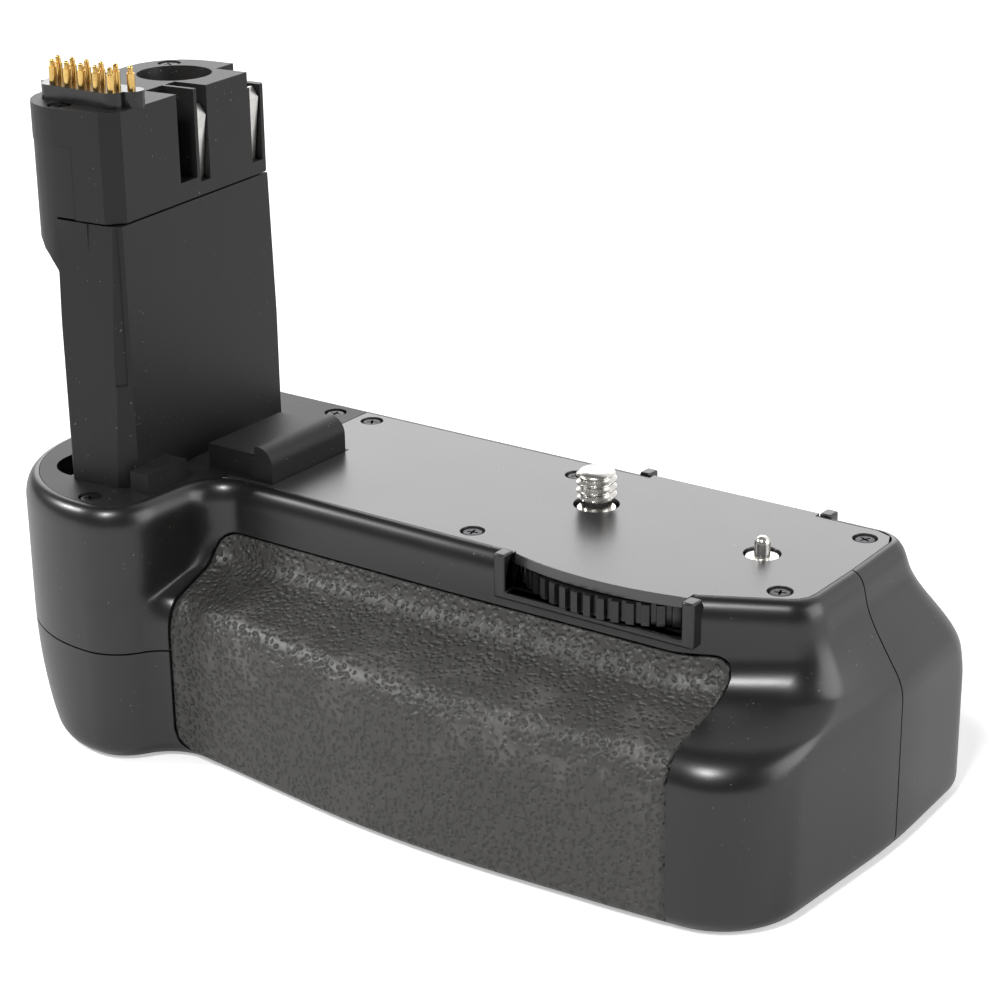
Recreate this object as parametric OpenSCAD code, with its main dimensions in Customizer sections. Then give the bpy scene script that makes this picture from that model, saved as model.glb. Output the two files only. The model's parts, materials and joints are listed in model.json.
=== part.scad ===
// Vertical battery grip for a still camera: moulded housings, battery tower, attachment drive,
// battery chamber with a rear door, and the controls for upright shooting.
// X runs along the grip, Y to the rear and Z up; the origin is under the middle of the grip.

/* [Housing] */
// Overall length, left end to right end
body_l = 144.7; // [141:0.1:150]
// Overall depth, front of the lobe to the rear controls
body_d = 72; // [70:0.5:76]
// Height of the mating plate above the resting face
plate_z = 43; // [42:0.25:46]
// Thickness of the housing walls
wall = 2.2; // [1.8:0.1:2.5]
// Radius and width of the rounded top rim
rim_r = 2.3; // [1.9:0.1:2.6]
// Radius of the rounded bottom edge
foot_r = 2.5; // [1.5:0.1:3.5]
// Height of the upright neck under the plate
neck_h = 7.6; // [7:0.1:8.5]
// Front of the lobe to the front face of the neck
neck_back = 21.1; // [20:0.1:22]
// Depth of the neck, front face to rear face
neck_d = 41.1; // [40:0.1:43]
// Radius of the two bends of the front shelf
flare_r = 6; // [4.5:0.1:6.5]
// Slope of the front shelf in degrees
shelf_slope = 14; // [11:0.5:17]
// Height over which the rear and the right end flare out
flare_h = 24; // [22:0.5:27]
// Width of the lobe that carries the tower
lobe_w = 33.4; // [32.5:0.1:36]
// Radius of the lobe's left front corner
lobe_r = 17; // [14:0.5:19]
// Height of the joint line on the lower left end
seam_z = 18.8; // [16:0.1:21]
// Front face of the neck to the joint line between the front and rear housings
seam_back = 23.1; // [21:0.1:25]
// Width of the seat that carries the plate inside the rim
ledge = 1.2; // [0.9:0.1:1.5]

/* [Grip rubber] */
// Thickness of the rubber skins
rubber_t = 1.2; // [0.8:0.1:1.4]
// Right side of the lobe to the left edge of the front rubber
rubber_in_left = 2.65; // [2:0.05:5]
// Right end of the grip to the right edge of the front rubber
rubber_in_right = 18.05; // [15.5:0.05:22]
// Lower edge of the front rubber
rubber_low = 1.6; // [1:0.1:3]
// Upper edge of the front rubber
rubber_top = 33; // [31:0.1:34]
// Radius of the upper corners of the front rubber
rubber_r = 4.5; // [2:0.1:6]

/* [Mating plate] */
// Thickness of the plate
plate_t = 1.7; // [1.5:0.1:2]
// Right end of the grip to the attachment screw
screw_in = 55.05; // [53.5:0.05:56.5]
// Front face of the neck to the attachment screw
screw_back = 24.7; // [23.7:0.1:25.5]
// Radius of the attachment screw's thread
thread_r = 3.175; // [3.175:0.001:3.175]
// Reach of the attachment screw above the plate
screw_reach = 5.7; // [4.5:0.1:7]
// Right end of the grip to the locating pin
pin_in = 24.15; // [23.5:0.05:25.5]
// Front face of the neck to the locating pin
pin_back = 21.5; // [20:0.1:23]
// Radius of the locating pin
pin_r = 1.2; // [1:0.05:1.5]
// Reach of the locating pin above the plate
pin_reach = 2.8; // [2:0.1:4]

/* [Attachment drive] */
// Module of the drive teeth
gear_m = 0.5; // [0.5:0.01:0.5]
// Teeth inside the thumb wheel
wheel_teeth = 80; // [80:4:80]
// Teeth of the pinion on the screw
pinion_teeth = 16; // [16:1:16]
// Direction from the screw to the wheel axis in degrees
drive_turn = -13.2; // [-16:0.1:-10]
// Thickness of the wheel's toothed rim, root of the teeth to top of the ribs
wheel_rim = 2.3; // [2:0.1:2.4]
// Ribs around the thumb wheel
wheel_ribs = 64; // [48:2:72]
// Height of the thumb wheel
wheel_h = 3.2; // [3:0.1:3.6]
// Width of each wheel window
window_w = 30.1; // [29.6:0.1:32]

/* [Battery tower] */
// Width of the tower's broad face
tower_w = 40; // [38:0.5:42]
// Thickness of the tower's head
tower_t = 20; // [19:0.5:21]
// Thickness of the tower's column
column_t = 12; // [11:0.1:12.4]
// Height of the tower above the plate
tower_h = 59.2; // [56:0.1:62]
// Height of the head on the broad face
head_h = 17; // [15:0.5:19]
// Turn of the tower about the upright axis in degrees
tower_turn = 5.6; // [4:0.1:7]
// Left end of the grip to the front corner of the broad face
tower_in = 27.05; // [26.5:0.05:27.75]
// Front of the lobe to the front corner of the broad face
tower_back = 11.4; // [10.5:0.1:12.4]
// Depth of the storage pocket beside the tower
pocket_h = 18; // [14:0.5:19]

/* [Contact pins] */
// Pitch of the contact pins
pin_pitch = 3; // [2.8:0.05:3.1]
// Spacing of the two rows of pins
row_gap = 2.5; // [2.2:0.1:2.8]
// Outer radius of a pin's barrel
barrel_r = 0.62; // [0.55:0.01:0.75]
// Travel of the spring pins
pin_travel = 1; // [0.6:0.1:1.2]

/* [Battery chamber] */
// Left end of the grip to the bays
bay_in_left = 49.55; // [48.95:0.05:50.8]
// Bays to the right end of the grip
bay_in_right = 19.35; // [18.5:0.05:22]
// Front of the lobe to the front of the bays
bay_back = 15.5; // [15:0.1:19]
// Clear height of a bay
bay_h = 20.6; // [20:0.1:21]
// Wall of the chamber
bay_wall = 1.2; // [1:0.1:1.4]

/* [Rear door] */
// Thickness of the door
door_t = 2; // [1.6:0.1:2.2]
// Radius of the rolled hinge edge
roll_r = 2; // [1.8:0.1:2.1]
// Radius of the hinge pin
hinge_r = 0.9; // [0.7:0.05:1]
// Radius of the latch bolt
bolt_r = 1.5; // [1.2:0.1:1.8]
// Travel of the latch
latch_travel = 3; // [2:0.1:3.5]

/* [Controls] */
// Radius of the shutter button
shutter_r = 4.2; // [3.6:0.1:4.6]
// Travel of the shutter button
shutter_travel = 1; // [0.6:0.1:1.2]
// Radius of the main dial
dial_r = 9; // [8.5:0.1:9.3]
// Width of the main dial
dial_w = 6; // [5:0.1:7]
// Grips around the main dial
dial_ribs = 40; // [30:2:48]
// Radius of the two rear buttons
button_r = 2.8; // [2.4:0.1:3]
// Travel of the rear buttons
button_travel = 0.8; // [0.5:0.1:1]
// Radius of the power switch
switch_r = 3.8; // [3.2:0.1:4]

/* [Fits] */
// Gap around pieces that move
gap = 0.3; // [0.25:0.01:0.4]
// Radial clearance of running fits
run = 0.05; // [0.03:0.01:0.08]
// Clearance around pieces that are seated
fit = 0.1; // [0.05:0.01:0.15]

/* [Hidden] */
$fn = 64;

// Ends, faces and heights of the housing
far = 200;
left = -body_l / 2;
end_bow = 1.2;
right = body_l / 2 + end_bow;
lobe_front = -body_d / 2;
rear_proud = 0.7;
rear = body_d / 2 - rear_proud;
neck_front = lobe_front + neck_back;
neck_rear = neck_front + neck_d;
neck_in = 8.3;
neck_right = right - neck_in;
seam_y = neck_front + seam_back;
plate_low = plate_z - plate_t;

// Front shelf: an upright neck, a concave bend, a slope and a rounded nose
flare_d = 18;
flare_top = plate_z - neck_h;
bend_y = flare_r * (1 - sin(shelf_slope));
bend_z = flare_r * cos(shelf_slope);
shelf_top = flare_top - bend_z;
shelf_low = shelf_top - (flare_d - 2 * bend_y) * tan(shelf_slope);
flare_low = shelf_low - bend_z;
bend_sweep = 90 - shelf_slope;
function mix(a, b, t) = a + (b - a) * t;
function bend(h) = flare_r * (1 - cos(asin(h / flare_r)));
function flare(z) = z >= flare_top ? 0
  : z > shelf_top ? bend(flare_top - z) / flare_d
  : z > shelf_low ? (bend_y + (shelf_top - z) / tan(shelf_slope)) / flare_d
  : z > flare_low ? 1 - bend(z - flare_low) / flare_d
  : 1;

// Soft flare of the rear and the right end
function ease(z) = z >= plate_z ? 0
  : z <= plate_z - flare_h ? 1
  : (1 - cos(180 * (plate_z - z) / flare_h)) / 2;
function rear_y(z) = mix(neck_rear, rear, ease(z));

// Rounding of the lower left end
tuck_top = 21.4;
tuck_h = 22;
tuck_x = 18;
tuck_tighten = 0.55;
function tuck(z) = z >= tuck_top ? 0 : tuck_x * (1 - sqrt(1 - pow((tuck_top - z) / tuck_h, 2)));

// Corners of the plan outline at height z, counter-clockwise, each with its radius
lobe_right = left + lobe_w;
knee_in = 25.35;
knee_x = right - knee_in;
bow_share = 0.5468;
bow_x = mix(lobe_right, knee_x, bow_share);
function corners(z) = let(f = flare(z), e = ease(z), k = tuck(z)) [
  [mix(neck_right, right - 4.2, e), rear_y(z), mix(6, 8, e)],
  [left + k, rear_y(z), 14],
  [left + k, lobe_front, lobe_r - tuck_tighten * k],
  [mix(lobe_right, lobe_right - 3.4, f), lobe_front, 7],
  [mix(lobe_right + 1.4, lobe_right + 2.1, f), mix(neck_front, lobe_front + 8.7, f), mix(4, 6, f)],
  [bow_x, mix(neck_front - 0.4, lobe_front + 3, f), 200],
  [mix(knee_x, knee_x - 1.5, f), mix(neck_front, lobe_front + 5.4, f), mix(9, 40, f)],
  [mix(neck_right, right - 4.6, e), mix(neck_front + 8.6, lobe_front + 7.4, f), mix(6.5, 7, f)],
  [mix(neck_right + 0.3, right, e), seam_y, 120]];
fine = [4, 5, 6, 5, 5, 4, 3, 5, 3];
coarse = [2, 3, 4, 3, 3, 2, 2, 3, 3];
inner_corner = 4;
right_corner = 7;

// Rounded and inset polygons
function unit(v) = v / norm(v);
function left_of(v) = [-v[1], v[0]];
function turned(v, a) = [v[0] * cos(a) - v[1] * sin(a), v[0] * sin(a) + v[1] * cos(a)];
function at(c, i) = c[(i + len(c)) % len(c)];
function xy(p) = [p[0], p[1]];
function way_in(c, i) = unit(xy(at(c, i)) - xy(at(c, i - 1)));
function way_out(c, i) = unit(xy(at(c, i + 1)) - xy(at(c, i)));
function turn(c, i) = let(a = way_in(c, i), b = way_out(c, i)) atan2(a[0] * b[1] - a[1] * b[0], a * b);
function moved(c, i, d) = let(a = left_of(way_in(c, i)), b = left_of(way_out(c, i)))
  xy(c[i]) + d * (a + b) / (1 + a * b);
function inset(c, d) = [for (i = [0:len(c) - 1]) let(q = moved(c, i, d))
  [q[0], q[1], max(0.3, c[i][2] - d * sign(turn(c, i)))]];
function arc(c, i, n) = let(t = turn(c, i), r = c[i][2], a = way_in(c, i),
  s = xy(c[i]) - a * r * tan(abs(t) / 2), m = s + left_of(a) * sign(t) * r)
  [for (j = [0:n]) m + turned(s - m, t * j / n)];
function rounded(c, n) = [for (i = [0:len(c) - 1]) each arc(c, i, n[i])];
function outline(z, d, n) = rounded(inset(corners(z), d), n);
function ring(z, d, n, lift) = [for (p = outline(z, d, n)) [p[0], p[1], z + lift]];
function sum_to(n, i) = i < 0 ? 0 : n[i] + 1 + sum_to(n, i - 1);

// A closed skin through rings of equal length, with ends that fan out from a point in the lobe
fan_point = [left + lobe_w / 2, 0];
function end_point(ring) = [fan_point[0], fan_point[1], ring[0][2]];
module loft(rings) {
  n = len(rings[0]);
  m = len(rings);
  low = [for (i = [0:n - 1]) [i, (i + 1) % n, m * n]];
  high = [for (i = [0:n - 1]) [(m - 1) * n + (i + 1) % n, (m - 1) * n + i, m * n + 1]];
  side = [for (j = [0:m - 2]) for (i = [0:n - 1]) let(a = j * n + i, b = j * n + (i + 1) % n)
    each [[a, a + n, b + n], [a, b + n, b]]];
  ends = [end_point(rings[0]), end_point(rings[m - 1])];
  polyhedron(concat([for (r = rings) each r], ends), concat(low, high, side));
}

// Outer form of the housing: rounded foot, upright wall, shelf, neck and rounded rim
outer_rings = concat(
  [for (a = [90, 60, 30]) ring(foot_r * (1 - sin(a)), foot_r * (1 - cos(a)), fine, 0)],
  [for (t = [0, 0.2, 0.4, 0.6, 0.8]) ring(mix(foot_r, flare_low, t), 0, fine, 0)],
  [for (t = [0, 0.35, 0.7, 1]) ring(flare_low + flare_r * sin(t * bend_sweep), 0, fine, 0)],
  [for (t = [1, 0.7, 0.35, 0]) ring(flare_top - flare_r * sin(t * bend_sweep), 0, fine, 0)],
  [for (a = [0, 30, 60, 90]) ring(plate_z - rim_r * (1 - sin(a)), rim_r * (1 - cos(a)), fine, 0)]);
module outer_form() loft(outer_rings);

// Space inside the housing, with a seat for the plate under the rim
roof_drop = 2.2;
seat_inset = wall + ledge;
inner_rings = concat(
  [for (t = [0, 0.33, 0.66, 1]) ring(mix(wall, flare_low - roof_drop, t), wall, coarse, 0)],
  [for (t = [0.5, 1]) ring(flare_low + flare_r * sin(t * bend_sweep), wall, coarse, -roof_drop)],
  [for (t = [1, 0.5, 0]) ring(flare_top - flare_r * sin(t * bend_sweep), wall, coarse, -roof_drop)],
  [ring(plate_z, wall, coarse, -plate_t - 2.6), ring(plate_z, seat_inset, coarse, -plate_t - 1.3),
   ring(plate_z, seat_inset, coarse, -plate_t), ring(plate_z, rim_r, coarse, -plate_t),
   ring(plate_z, rim_r, coarse, 1)]);
module inner_form() loft(inner_rings);

// Front face of the housing as a depth over x at height z
front_from = sum_to(fine, inner_corner - 1);
front_to = sum_to(fine, right_corner) - 1;
function front_y(x, z, d) = let(o = outline(z, d, fine)) lookup(x, [for (i = [front_from:front_to]) o[i]]);

// Skin over the front face, from depth near to depth deep, grown by g at its edges
rubber_left = lobe_right + rubber_in_left;
rubber_right = right - rubber_in_right;
rubber_cols = 22;
rubber_rows = concat([for (t = [0, 0.35, 0.7]) mix(rubber_low, flare_low, t)],
  [for (t = [0, 0.35, 0.7, 1]) flare_low + flare_r * sin(t * bend_sweep)],
  [for (t = [1, 0.75, 0.5]) flare_top - flare_r * sin(t * bend_sweep)], [rubber_top]);
function corner_drop(x) = let(e = max(0, min(x - rubber_left, rubber_right - x)))
  e >= rubber_r ? 0 : rubber_r - sqrt(pow(rubber_r, 2) - pow(rubber_r - e, 2));
function row_z(x, z) = let(h = rubber_top - corner_drop(x) - rubber_low)
  rubber_low + h * (z - rubber_low) / (rubber_top - rubber_low);
function skin_x(i) = let(t = i / rubber_cols) mix(rubber_left, rubber_right, t - sin(360 * t) / 9);
function end_step(i, n, g) = i == 0 ? -g : i == n ? g : 0;
function skin_drop(z) = min(1, max(0, (z - rubber_low) / (flare_low - rubber_low)));
function skin_point(i, j, d, g) = let(x = skin_x(i) + end_step(i, rubber_cols, g),
  h = row_z(skin_x(i), rubber_rows[j]) + end_step(j, len(rubber_rows) - 1, g))
  [x, front_y(x, h, d), h - d * skin_drop(h)];
module rubber_skin(near, deep, g) {
  c = rubber_cols + 1;
  skin = [for (j = [0:len(rubber_rows) - 1]) concat([for (i = [0:rubber_cols]) skin_point(i, j, near, g)],
    [for (i = [rubber_cols:-1:0]) skin_point(i, j, deep, g)])];
  n = 2 * c;
  m = len(skin);
  strip = [for (i = [0:rubber_cols - 1]) [i, n - 1 - i, n - 2 - i, i + 1]];
  low = [for (q = strip) each [[q[0], q[3], q[2]], [q[0], q[2], q[1]]]];
  high = [for (t = low) [for (i = [2:-1:0]) t[i] + (m - 1) * n]];
  side = [for (j = [0:m - 2]) for (i = [0:n - 1]) let(a = j * n + i, b = j * n + (i + 1) % n)
    each [[a, a + n, b + n], [a, b + n, b]]];
  polyhedron([for (r = skin) each r], concat(low, high, side));
}

// Strip of the rear face from x0 to x1 and z0 to z1, from depth near to depth deep
strip_steps = 10;
module rear_strip(x0, x1, z0, z1, near, deep) {
  zs = [for (i = [0:strip_steps]) mix(z0, z1, i / strip_steps)];
  face = concat([for (z = zs) [rear_y(z) - near, z]],
    [for (i = [strip_steps:-1:0]) [rear_y(zs[i]) - deep, zs[i]]]);
  translate([x0, 0, 0]) rotate([90, 0, 90]) linear_extrude(x1 - x0) polygon(face);
}

// Drive: wheel and pinion in mesh under the plate
screw_x = right - screw_in;
screw_y = neck_front + screw_back;
pin_x = right - pin_in;
pin_y = neck_front + pin_back;
wheel_pitch_r = gear_m * wheel_teeth / 2;
pinion_pitch_r = gear_m * pinion_teeth / 2;
drive_c = wheel_pitch_r - pinion_pitch_r;
wheel_x = screw_x + drive_c * cos(drive_turn);
wheel_y = screw_y + drive_c * sin(drive_turn);
wheel_root_r = wheel_pitch_r + 1.2 * gear_m;
wheel_tip_r = wheel_pitch_r - gear_m;
wheel_r = wheel_root_r + wheel_rim;
rib_h = 0.8;
wheel_top = plate_low - gap;
wheel_low = wheel_top - wheel_h;
sill_z = wheel_low - gap - fit;
tooth_h = wheel_h / 2;
backlash = 0.08;
pressure = 20;
screw_neck_r = 2.4;
hub_low = wheel_low + tooth_h + fit;
pinion_low = wheel_low + fit;
bracket_top = sill_z;
bracket_t = 2;
bush_r = 3.6;
frame_w = 2;
frame_proud = 0.8;
frame_sill = 1.1;
window_left = wheel_x - window_w / 2;
lip_r = 52;
lip_proud = 2.8;

// Plate screws stand outside the wheel, and two more screws hold the tower's base
screw_head_r = 1.8;
screw_head_h = 0.9;
screw_sink = 0.2;
sunk_head = screw_sink + screw_head_h;
shank_r = 1;
post_r = 2;
cap_x = lobe_right + 1.8;
plate_left = cap_x + 3.4;
plate_right = neck_right - rim_r;
front_row_y = neck_front + 5.2;
rear_row_y = neck_rear - 7.6;
spot_x = wheel_x - wheel_r - screw_head_r - 0.3;
bracket_spots = [[spot_x, front_row_y], [spot_x, rear_row_y],
  [plate_right - 3.8, rear_row_y + 1.5], [plate_right - 4.6, neck_front + 10.8]];
boss_spot = [plate_left, neck_rear - 5.3];
plate_spots = concat(bracket_spots, [boss_spot]);
tower_x = left + tower_in;
tower_y = lobe_front + tower_back;
base_front = [tower_x - 3.5, lobe_front + 4.9];
base_rear = [cap_x - 4.4, neck_rear - 5.3];
base_spots = [base_front, base_rear];
boss_r = 2.4;
boss_h = 7;

// Heights along the tower
head_top = plate_z + tower_h;
head_seam = head_top - head_h;
cheek_seam = head_top - 5.7;
cheek_w = 8;
bulge_low = head_seam - 9.7;
bulge_h = 9;
side_r = 9;
front_chamfer = 2.4;
slot_low = head_seam + 2.1;
slot_d = 6;
blade_slot = [21.5, 2.6];
empty_slot = [16.3, 4.4];
rear_slot = [tower_w - 4.3, 2.9];
well_u = tower_w - 10.6;
well_w = tower_t / 2;
well_r = 6;
well_h = 8;
well_taper = 1.2;
rear_step = 2.6;
pocket_left = column_t + 7.4;
pocket_front = -2.5;
pocket_rear = 29;
pocket_r = 5.5;
pocket_wall = 1.2;
pocket_gap = 0.6;
pocket_low = plate_z - pocket_h;
board_top = pocket_low + 4;
board_t = 1.2;
cable_t = 0.4;
cable_u = [4.2, 5];
cable_w = -6.2;
channel_w = [-9, 6];
channel_u = [3.4, 29];

// Contact pins: five in front and six behind, on a block at the front of the head
front_pins = 5;
rear_pins = 6;
conn_x = tower_x - 15.8;
conn_y = tower_y + 4.5;
row_shift = -1.2;
block_h = 2.4;
block_tail = 2.6;
block_top = head_top + block_h;
block_edge = 1.9;
barrel_top = block_top + 2.5;
barrel_low = head_top - 1.8;
bore_r = 0.47;
tip_h = 0.2;
pin_spots = concat([for (i = [0:front_pins - 1]) [conn_x + i * pin_pitch, conn_y]],
  [for (i = [0:rear_pins - 1]) [conn_x + row_shift + i * pin_pitch, conn_y + row_gap]]);

// Chamber, hinge and door
bay_left = left + bay_in_left;
bay_right = right - bay_in_right;
bay_l = bay_right - bay_left;
bay_low = 4.4;
bay_top = bay_low + bay_h;
bay_rear = rear - door_t - gap;
bay_front = lobe_front + bay_back;
bay_slope_z = plate_z - flare_h;
bay_corner_y = rear_y(bay_top + bay_wall) - door_t - 1;
bay_chamfer = 5.5;
door_left = bay_left - 7.5;
door_right = bay_right + 2.5;
door_top = bay_top + 2.4;
roll_y = rear - roll_r + fit;
roll_z = wall + gap + fit + roll_r;
lug_l = 4;
lug_r = roll_r;
pin_end = 0.5;
latch_z = 15;
bolt_y = rear - door_t - 3.2;
keeper_l = 4.1;
keeper_t = 1.2;
keeper_reach = 1;
latch_cap = [8, 7];
latch_neck = [5, 3];
latch_x = door_left - 7;
post_x = [bay_left - bay_wall - boss_r + 0.2, bay_right + bay_wall + boss_r - 0.2];
post_y = [bay_front + 6, bay_rear - 9];
post_h = 6;
tripod_r = 2.6;
tripod_body_r = 5;
tripod_flange_r = 6.5;
tripod_top = 4.2;

// Controls at the left end
shutter_z = 8;
shutter_y = lobe_front + 20.5;
shutter_tilt = atan((tuck(shutter_z - 0.5) - tuck(shutter_z + 0.5)) / 1);
shutter_proud = 0.9;
flange_t = 1.2;
dial_z = 13;
dial_x = left + 0.2 + dial_r;
dial_y = lobe_front + 33;
axle_r = 1.2;
cheek_t = 1.5;
control_z = 15;
switch_z = 6.8;
lock_x = left + 18.2;
point_x = lock_x + 8;
switch_x = lock_x + 4;
board_y = rear - 8.7;

black = "#1c1c1e";
satin = "#2a2a2c";
rubber = "#333335";
gold = "#c9a24a";
nickel = "#c8c6c0";
screw_black = "#3a3a3c";
board_green = "#1f4a2c";
brass = "#b8a26a";
steel = "#55585a";

module rod(p, r, z0, z1) translate([p[0], p[1], z0]) cylinder(r = r, h = z1 - z0);
module in_tower() translate([tower_x, tower_y, 0]) rotate(tower_turn) children();
module half_space(y0) translate([-far / 2, y0, -1]) cube([far, far, far]);

// Place of the shutter button, with its own Z along the press
module at_shutter() translate([left + tuck(shutter_z), shutter_y, shutter_z])
  rotate([0, -90 - shutter_tilt, 0]) children();

// Lower left corner that is a housing of its own
corner_x = rubber_left + 1.5;
module corner_block(g) translate([left - 5, lobe_front - 5, -1])
  cube([corner_x - left + 5 + g, seam_y - lobe_front + 5 + g, seam_z + 1 + g]);

// Window for the wheel in a neck face, and the raised frame round it
module window(y0) translate([window_left, y0, sill_z]) cube([window_w, 6, far]);
module window_frame(y0) translate([window_left - frame_w, y0, sill_z - frame_sill])
  cube([window_w + 2 * frame_w, frame_proud + wall - 0.5, plate_z + gap - sill_z + frame_sill]);
module wheel_room() rod([wheel_x, wheel_y], wheel_r + gap + fit, sill_z, plate_low);
module screw_rooms() {
  for (p = bracket_spots) rod(p, post_r + gap, bracket_top - bracket_t - gap, plate_low);
}

module front_half() difference() {
  difference() {
    outer_form();
    half_space(seam_y);
  }
  corner_block(0);
}
module rear_half() difference() {
  outer_form();
  mirror([0, 1, 0]) half_space(-seam_y);
}

module front_shell() color(black) difference() {
  union() {
    difference() {
      difference() {
        front_half();
        inner_form();
      }
      rubber_skin(-1, rubber_t + fit, fit);
    }
    window_frame(neck_front - frame_proud);
    intersection() {
      rod(base_front, boss_r, plate_low - boss_h, plate_low);
      outer_form();
    }
  }
  window(neck_front - frame_proud - 1.2);
  wheel_room();
  dial_room();
  screw_rooms();
  rod(base_front, shank_r + run, plate_low - boss_h - 1, far);
  rod([screw_x, screw_y], tripod_body_r + fit, -1, wall + 1);
  for (x = post_x) rod([x, post_y[0]], shank_r + run, -1, wall + 1);
  for (x = post_x) rod([x, post_y[0]], screw_head_r + fit, -1, sunk_head);
}

module rear_shell() color(black) difference() {
  union() {
    difference() {
      rear_half();
      inner_form();
    }
    window_frame(neck_rear - wall + 0.5);
    for (p = [base_rear, boss_spot]) rod(p, boss_r, plate_low - boss_h, plate_low);
    for (x = [door_left - lug_l - gap, door_right + gap])
      translate([x, roll_y - 0.6, roll_z]) rotate([0, 90, 0]) cylinder(r = lug_r, h = lug_l);
    for (p = board_posts) along_y(p, board_post_r, board_y, rear - wall / 2);
  }
  window(neck_rear + frame_proud - 4.8);
  wheel_room();
  screw_rooms();
  translate([door_left, bay_rear - 6, wall]) cube([door_right - door_left, 20, door_top + gap - wall]);
  translate([door_left - lug_l + pin_end, roll_y, roll_z]) rotate([0, 90, 0])
    cylinder(r = hinge_r + run, h = door_right - door_left + 2 * (lug_l - pin_end));
  rear_strip(thumb_left - fit, thumb_right + fit, thumb_low - fit, thumb_top + fit, -2, thumb_t + fit);
  for (p = [base_rear, boss_spot]) rod(p, shank_r + run, plate_low - boss_h - 1, far);
  for (x = [lock_x, point_x]) at_rear(x, control_z) cylinder(r = button_r + gap, h = 3 * wall, center = true);
  at_rear(switch_x, switch_z) cylinder(r = switch_shaft_r + run, h = 3 * wall, center = true);
  translate([latch_x - latch_neck[0] / 2 - gap, rear - 2 * wall, latch_z - latch_neck[1] / 2 - gap])
    cube([latch_neck[0] + latch_travel + 2 * gap, 3 * wall, latch_neck[1] + 2 * gap]);
  for (x = post_x) rod([x, post_y[1]], shank_r + run, -1, wall + 1);
  for (x = post_x) rod([x, post_y[1]], screw_head_r + fit, -1, sunk_head);
  rod([screw_x, screw_y], tripod_body_r + fit, -1, wall + 1);
}

// Point on the upright part of the rear face, with Z pointing out of it
module at_rear(x, z) translate([x, rear, z]) rotate([-90, 0, 0]) children();
thumb_left = left + 15;
thumb_right = door_left - 3;
thumb_low = plate_z - flare_h + 2;
thumb_top = plate_z - 9.5;
thumb_t = 1;
board_post_r = 1.5;
post_in = 3;
board_posts = [[switch_x, control_z + 5], [lock_x - post_in, switch_z], [point_x + post_in, switch_z]];

module shutter_housing() color(black) difference() {
  intersection() {
    outer_form();
    corner_block(0);
  }
  inner_form();
  rubber_skin(-1, rubber_t + fit, fit);
  at_shutter() cylinder(r = shutter_r + gap, h = 6 * wall, center = true);
  dial_room();
}
module dial_room() translate([dial_x, dial_y, dial_z]) rotate([90, 0, 0])
  cylinder(r = dial_r + gap + fit, h = dial_w + 2 * gap, center = true);

module front_rubber() color(rubber) rubber_skin(0, rubber_t, 0);

module thumb_rubber() color(rubber) rear_strip(thumb_left, thumb_right, thumb_low, thumb_top, 0, thumb_t);

// Plate inside the rim, right of the tower's base, reaching over both wheel windows with a round lip in front
bar_w = 3.5;
bar_h = 5.6;
bar_x = cap_x + 8.6;
bar_y = [neck_front + 3.7, 18.4];
module rim_area() polygon(outline(plate_z, rim_r + fit, coarse));
tongue_edge = 0.4;
module tongue(g) translate([cap_x - 1, bar_y[0] - tongue_edge - g])
  square([bar_x - cap_x + 1.2 + g, bar_y[1] + 2 * (tongue_edge + g)]);
module lip() intersection() {
  translate([wheel_x, neck_front + rim_r + lip_r - lip_proud]) circle(r = lip_r, $fn = 180);
  translate([window_left + gap, neck_front - rim_r]) square([window_w - 2 * gap, 3 * rim_r]);
}
module top_plate() color(satin) difference() {
  translate([0, 0, plate_low]) linear_extrude(plate_t) difference() {
    union() {
      intersection() {
        rim_area();
        translate([cap_x + fit, -far / 2]) square(far);
      }
      lip();
      translate([window_left + gap, neck_rear - rim_r - 1]) square([window_w - 2 * gap, rim_r]);
    }
    tongue(fit);
  }
  rod([screw_x, screw_y], thread_r + 0.4, 0, far);
  rod([pin_x, pin_y], pin_r + pin_flange + gap, 0, far);
  for (p = plate_spots) rod(p, shank_r + fit, 0, far);
  for (p = plate_spots) rod(p, screw_head_r + fit, plate_z - screw_head_h - screw_sink, far);
}

module screw_at(p, top, length) {
  rod(p, screw_head_r, top - screw_head_h, top);
  rod(p, shank_r, top - screw_head_h - length, top - screw_head_h);
}
plate_shank = 3.6;
base_shank = 5;
head_shank = 2.8;
module plate_screws() color(screw_black) for (p = plate_spots) screw_at(p, plate_z - screw_sink, plate_shank);
module base_screws() color(screw_black) for (p = base_spots) screw_at(p, plate_z - screw_sink, base_shank);

// Sections of the tower in its own axes: x into the thickness is negative, y along the broad face
module column_area() polygon([[0, front_chamfer - 1.3], [0, tower_w + 0.6], [-0.8, tower_w + 1.3],
  [-column_t + 1, tower_w + 1.3], [-column_t, tower_w + 0.3], [-column_t, -0.3], [-column_t + 1, -1.3],
  [-front_chamfer, -1.3]]);
module head_area(d) {
  far_x = -tower_t + d;
  far_y = tower_w - d;
  r = side_r - d;
  arc_rear = [for (a = [90:15:180]) [far_x + r + r * cos(a), far_y - r + r * sin(a)]];
  arc_front = [for (a = [180:15:270]) [far_x + r + r * cos(a), d + r + r * sin(a)]];
  polygon(concat([[0, front_chamfer], [0, far_y - 0.6], [-0.6, far_y]], arc_rear, arc_front,
    [[-front_chamfer - d, d]]));
}
module pocket_area(g) {
  x0 = -pocket_left - g;
  y0 = pocket_front - g;
  r = pocket_r + g;
  polygon(concat([[-column_t - pocket_gap + g, y0], [-column_t - pocket_gap + g, pocket_rear + g],
    [x0, pocket_rear + g]], [for (a = [180:15:270]) [x0 + r + r * cos(a), y0 + r + r * sin(a)]]));
}

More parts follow.
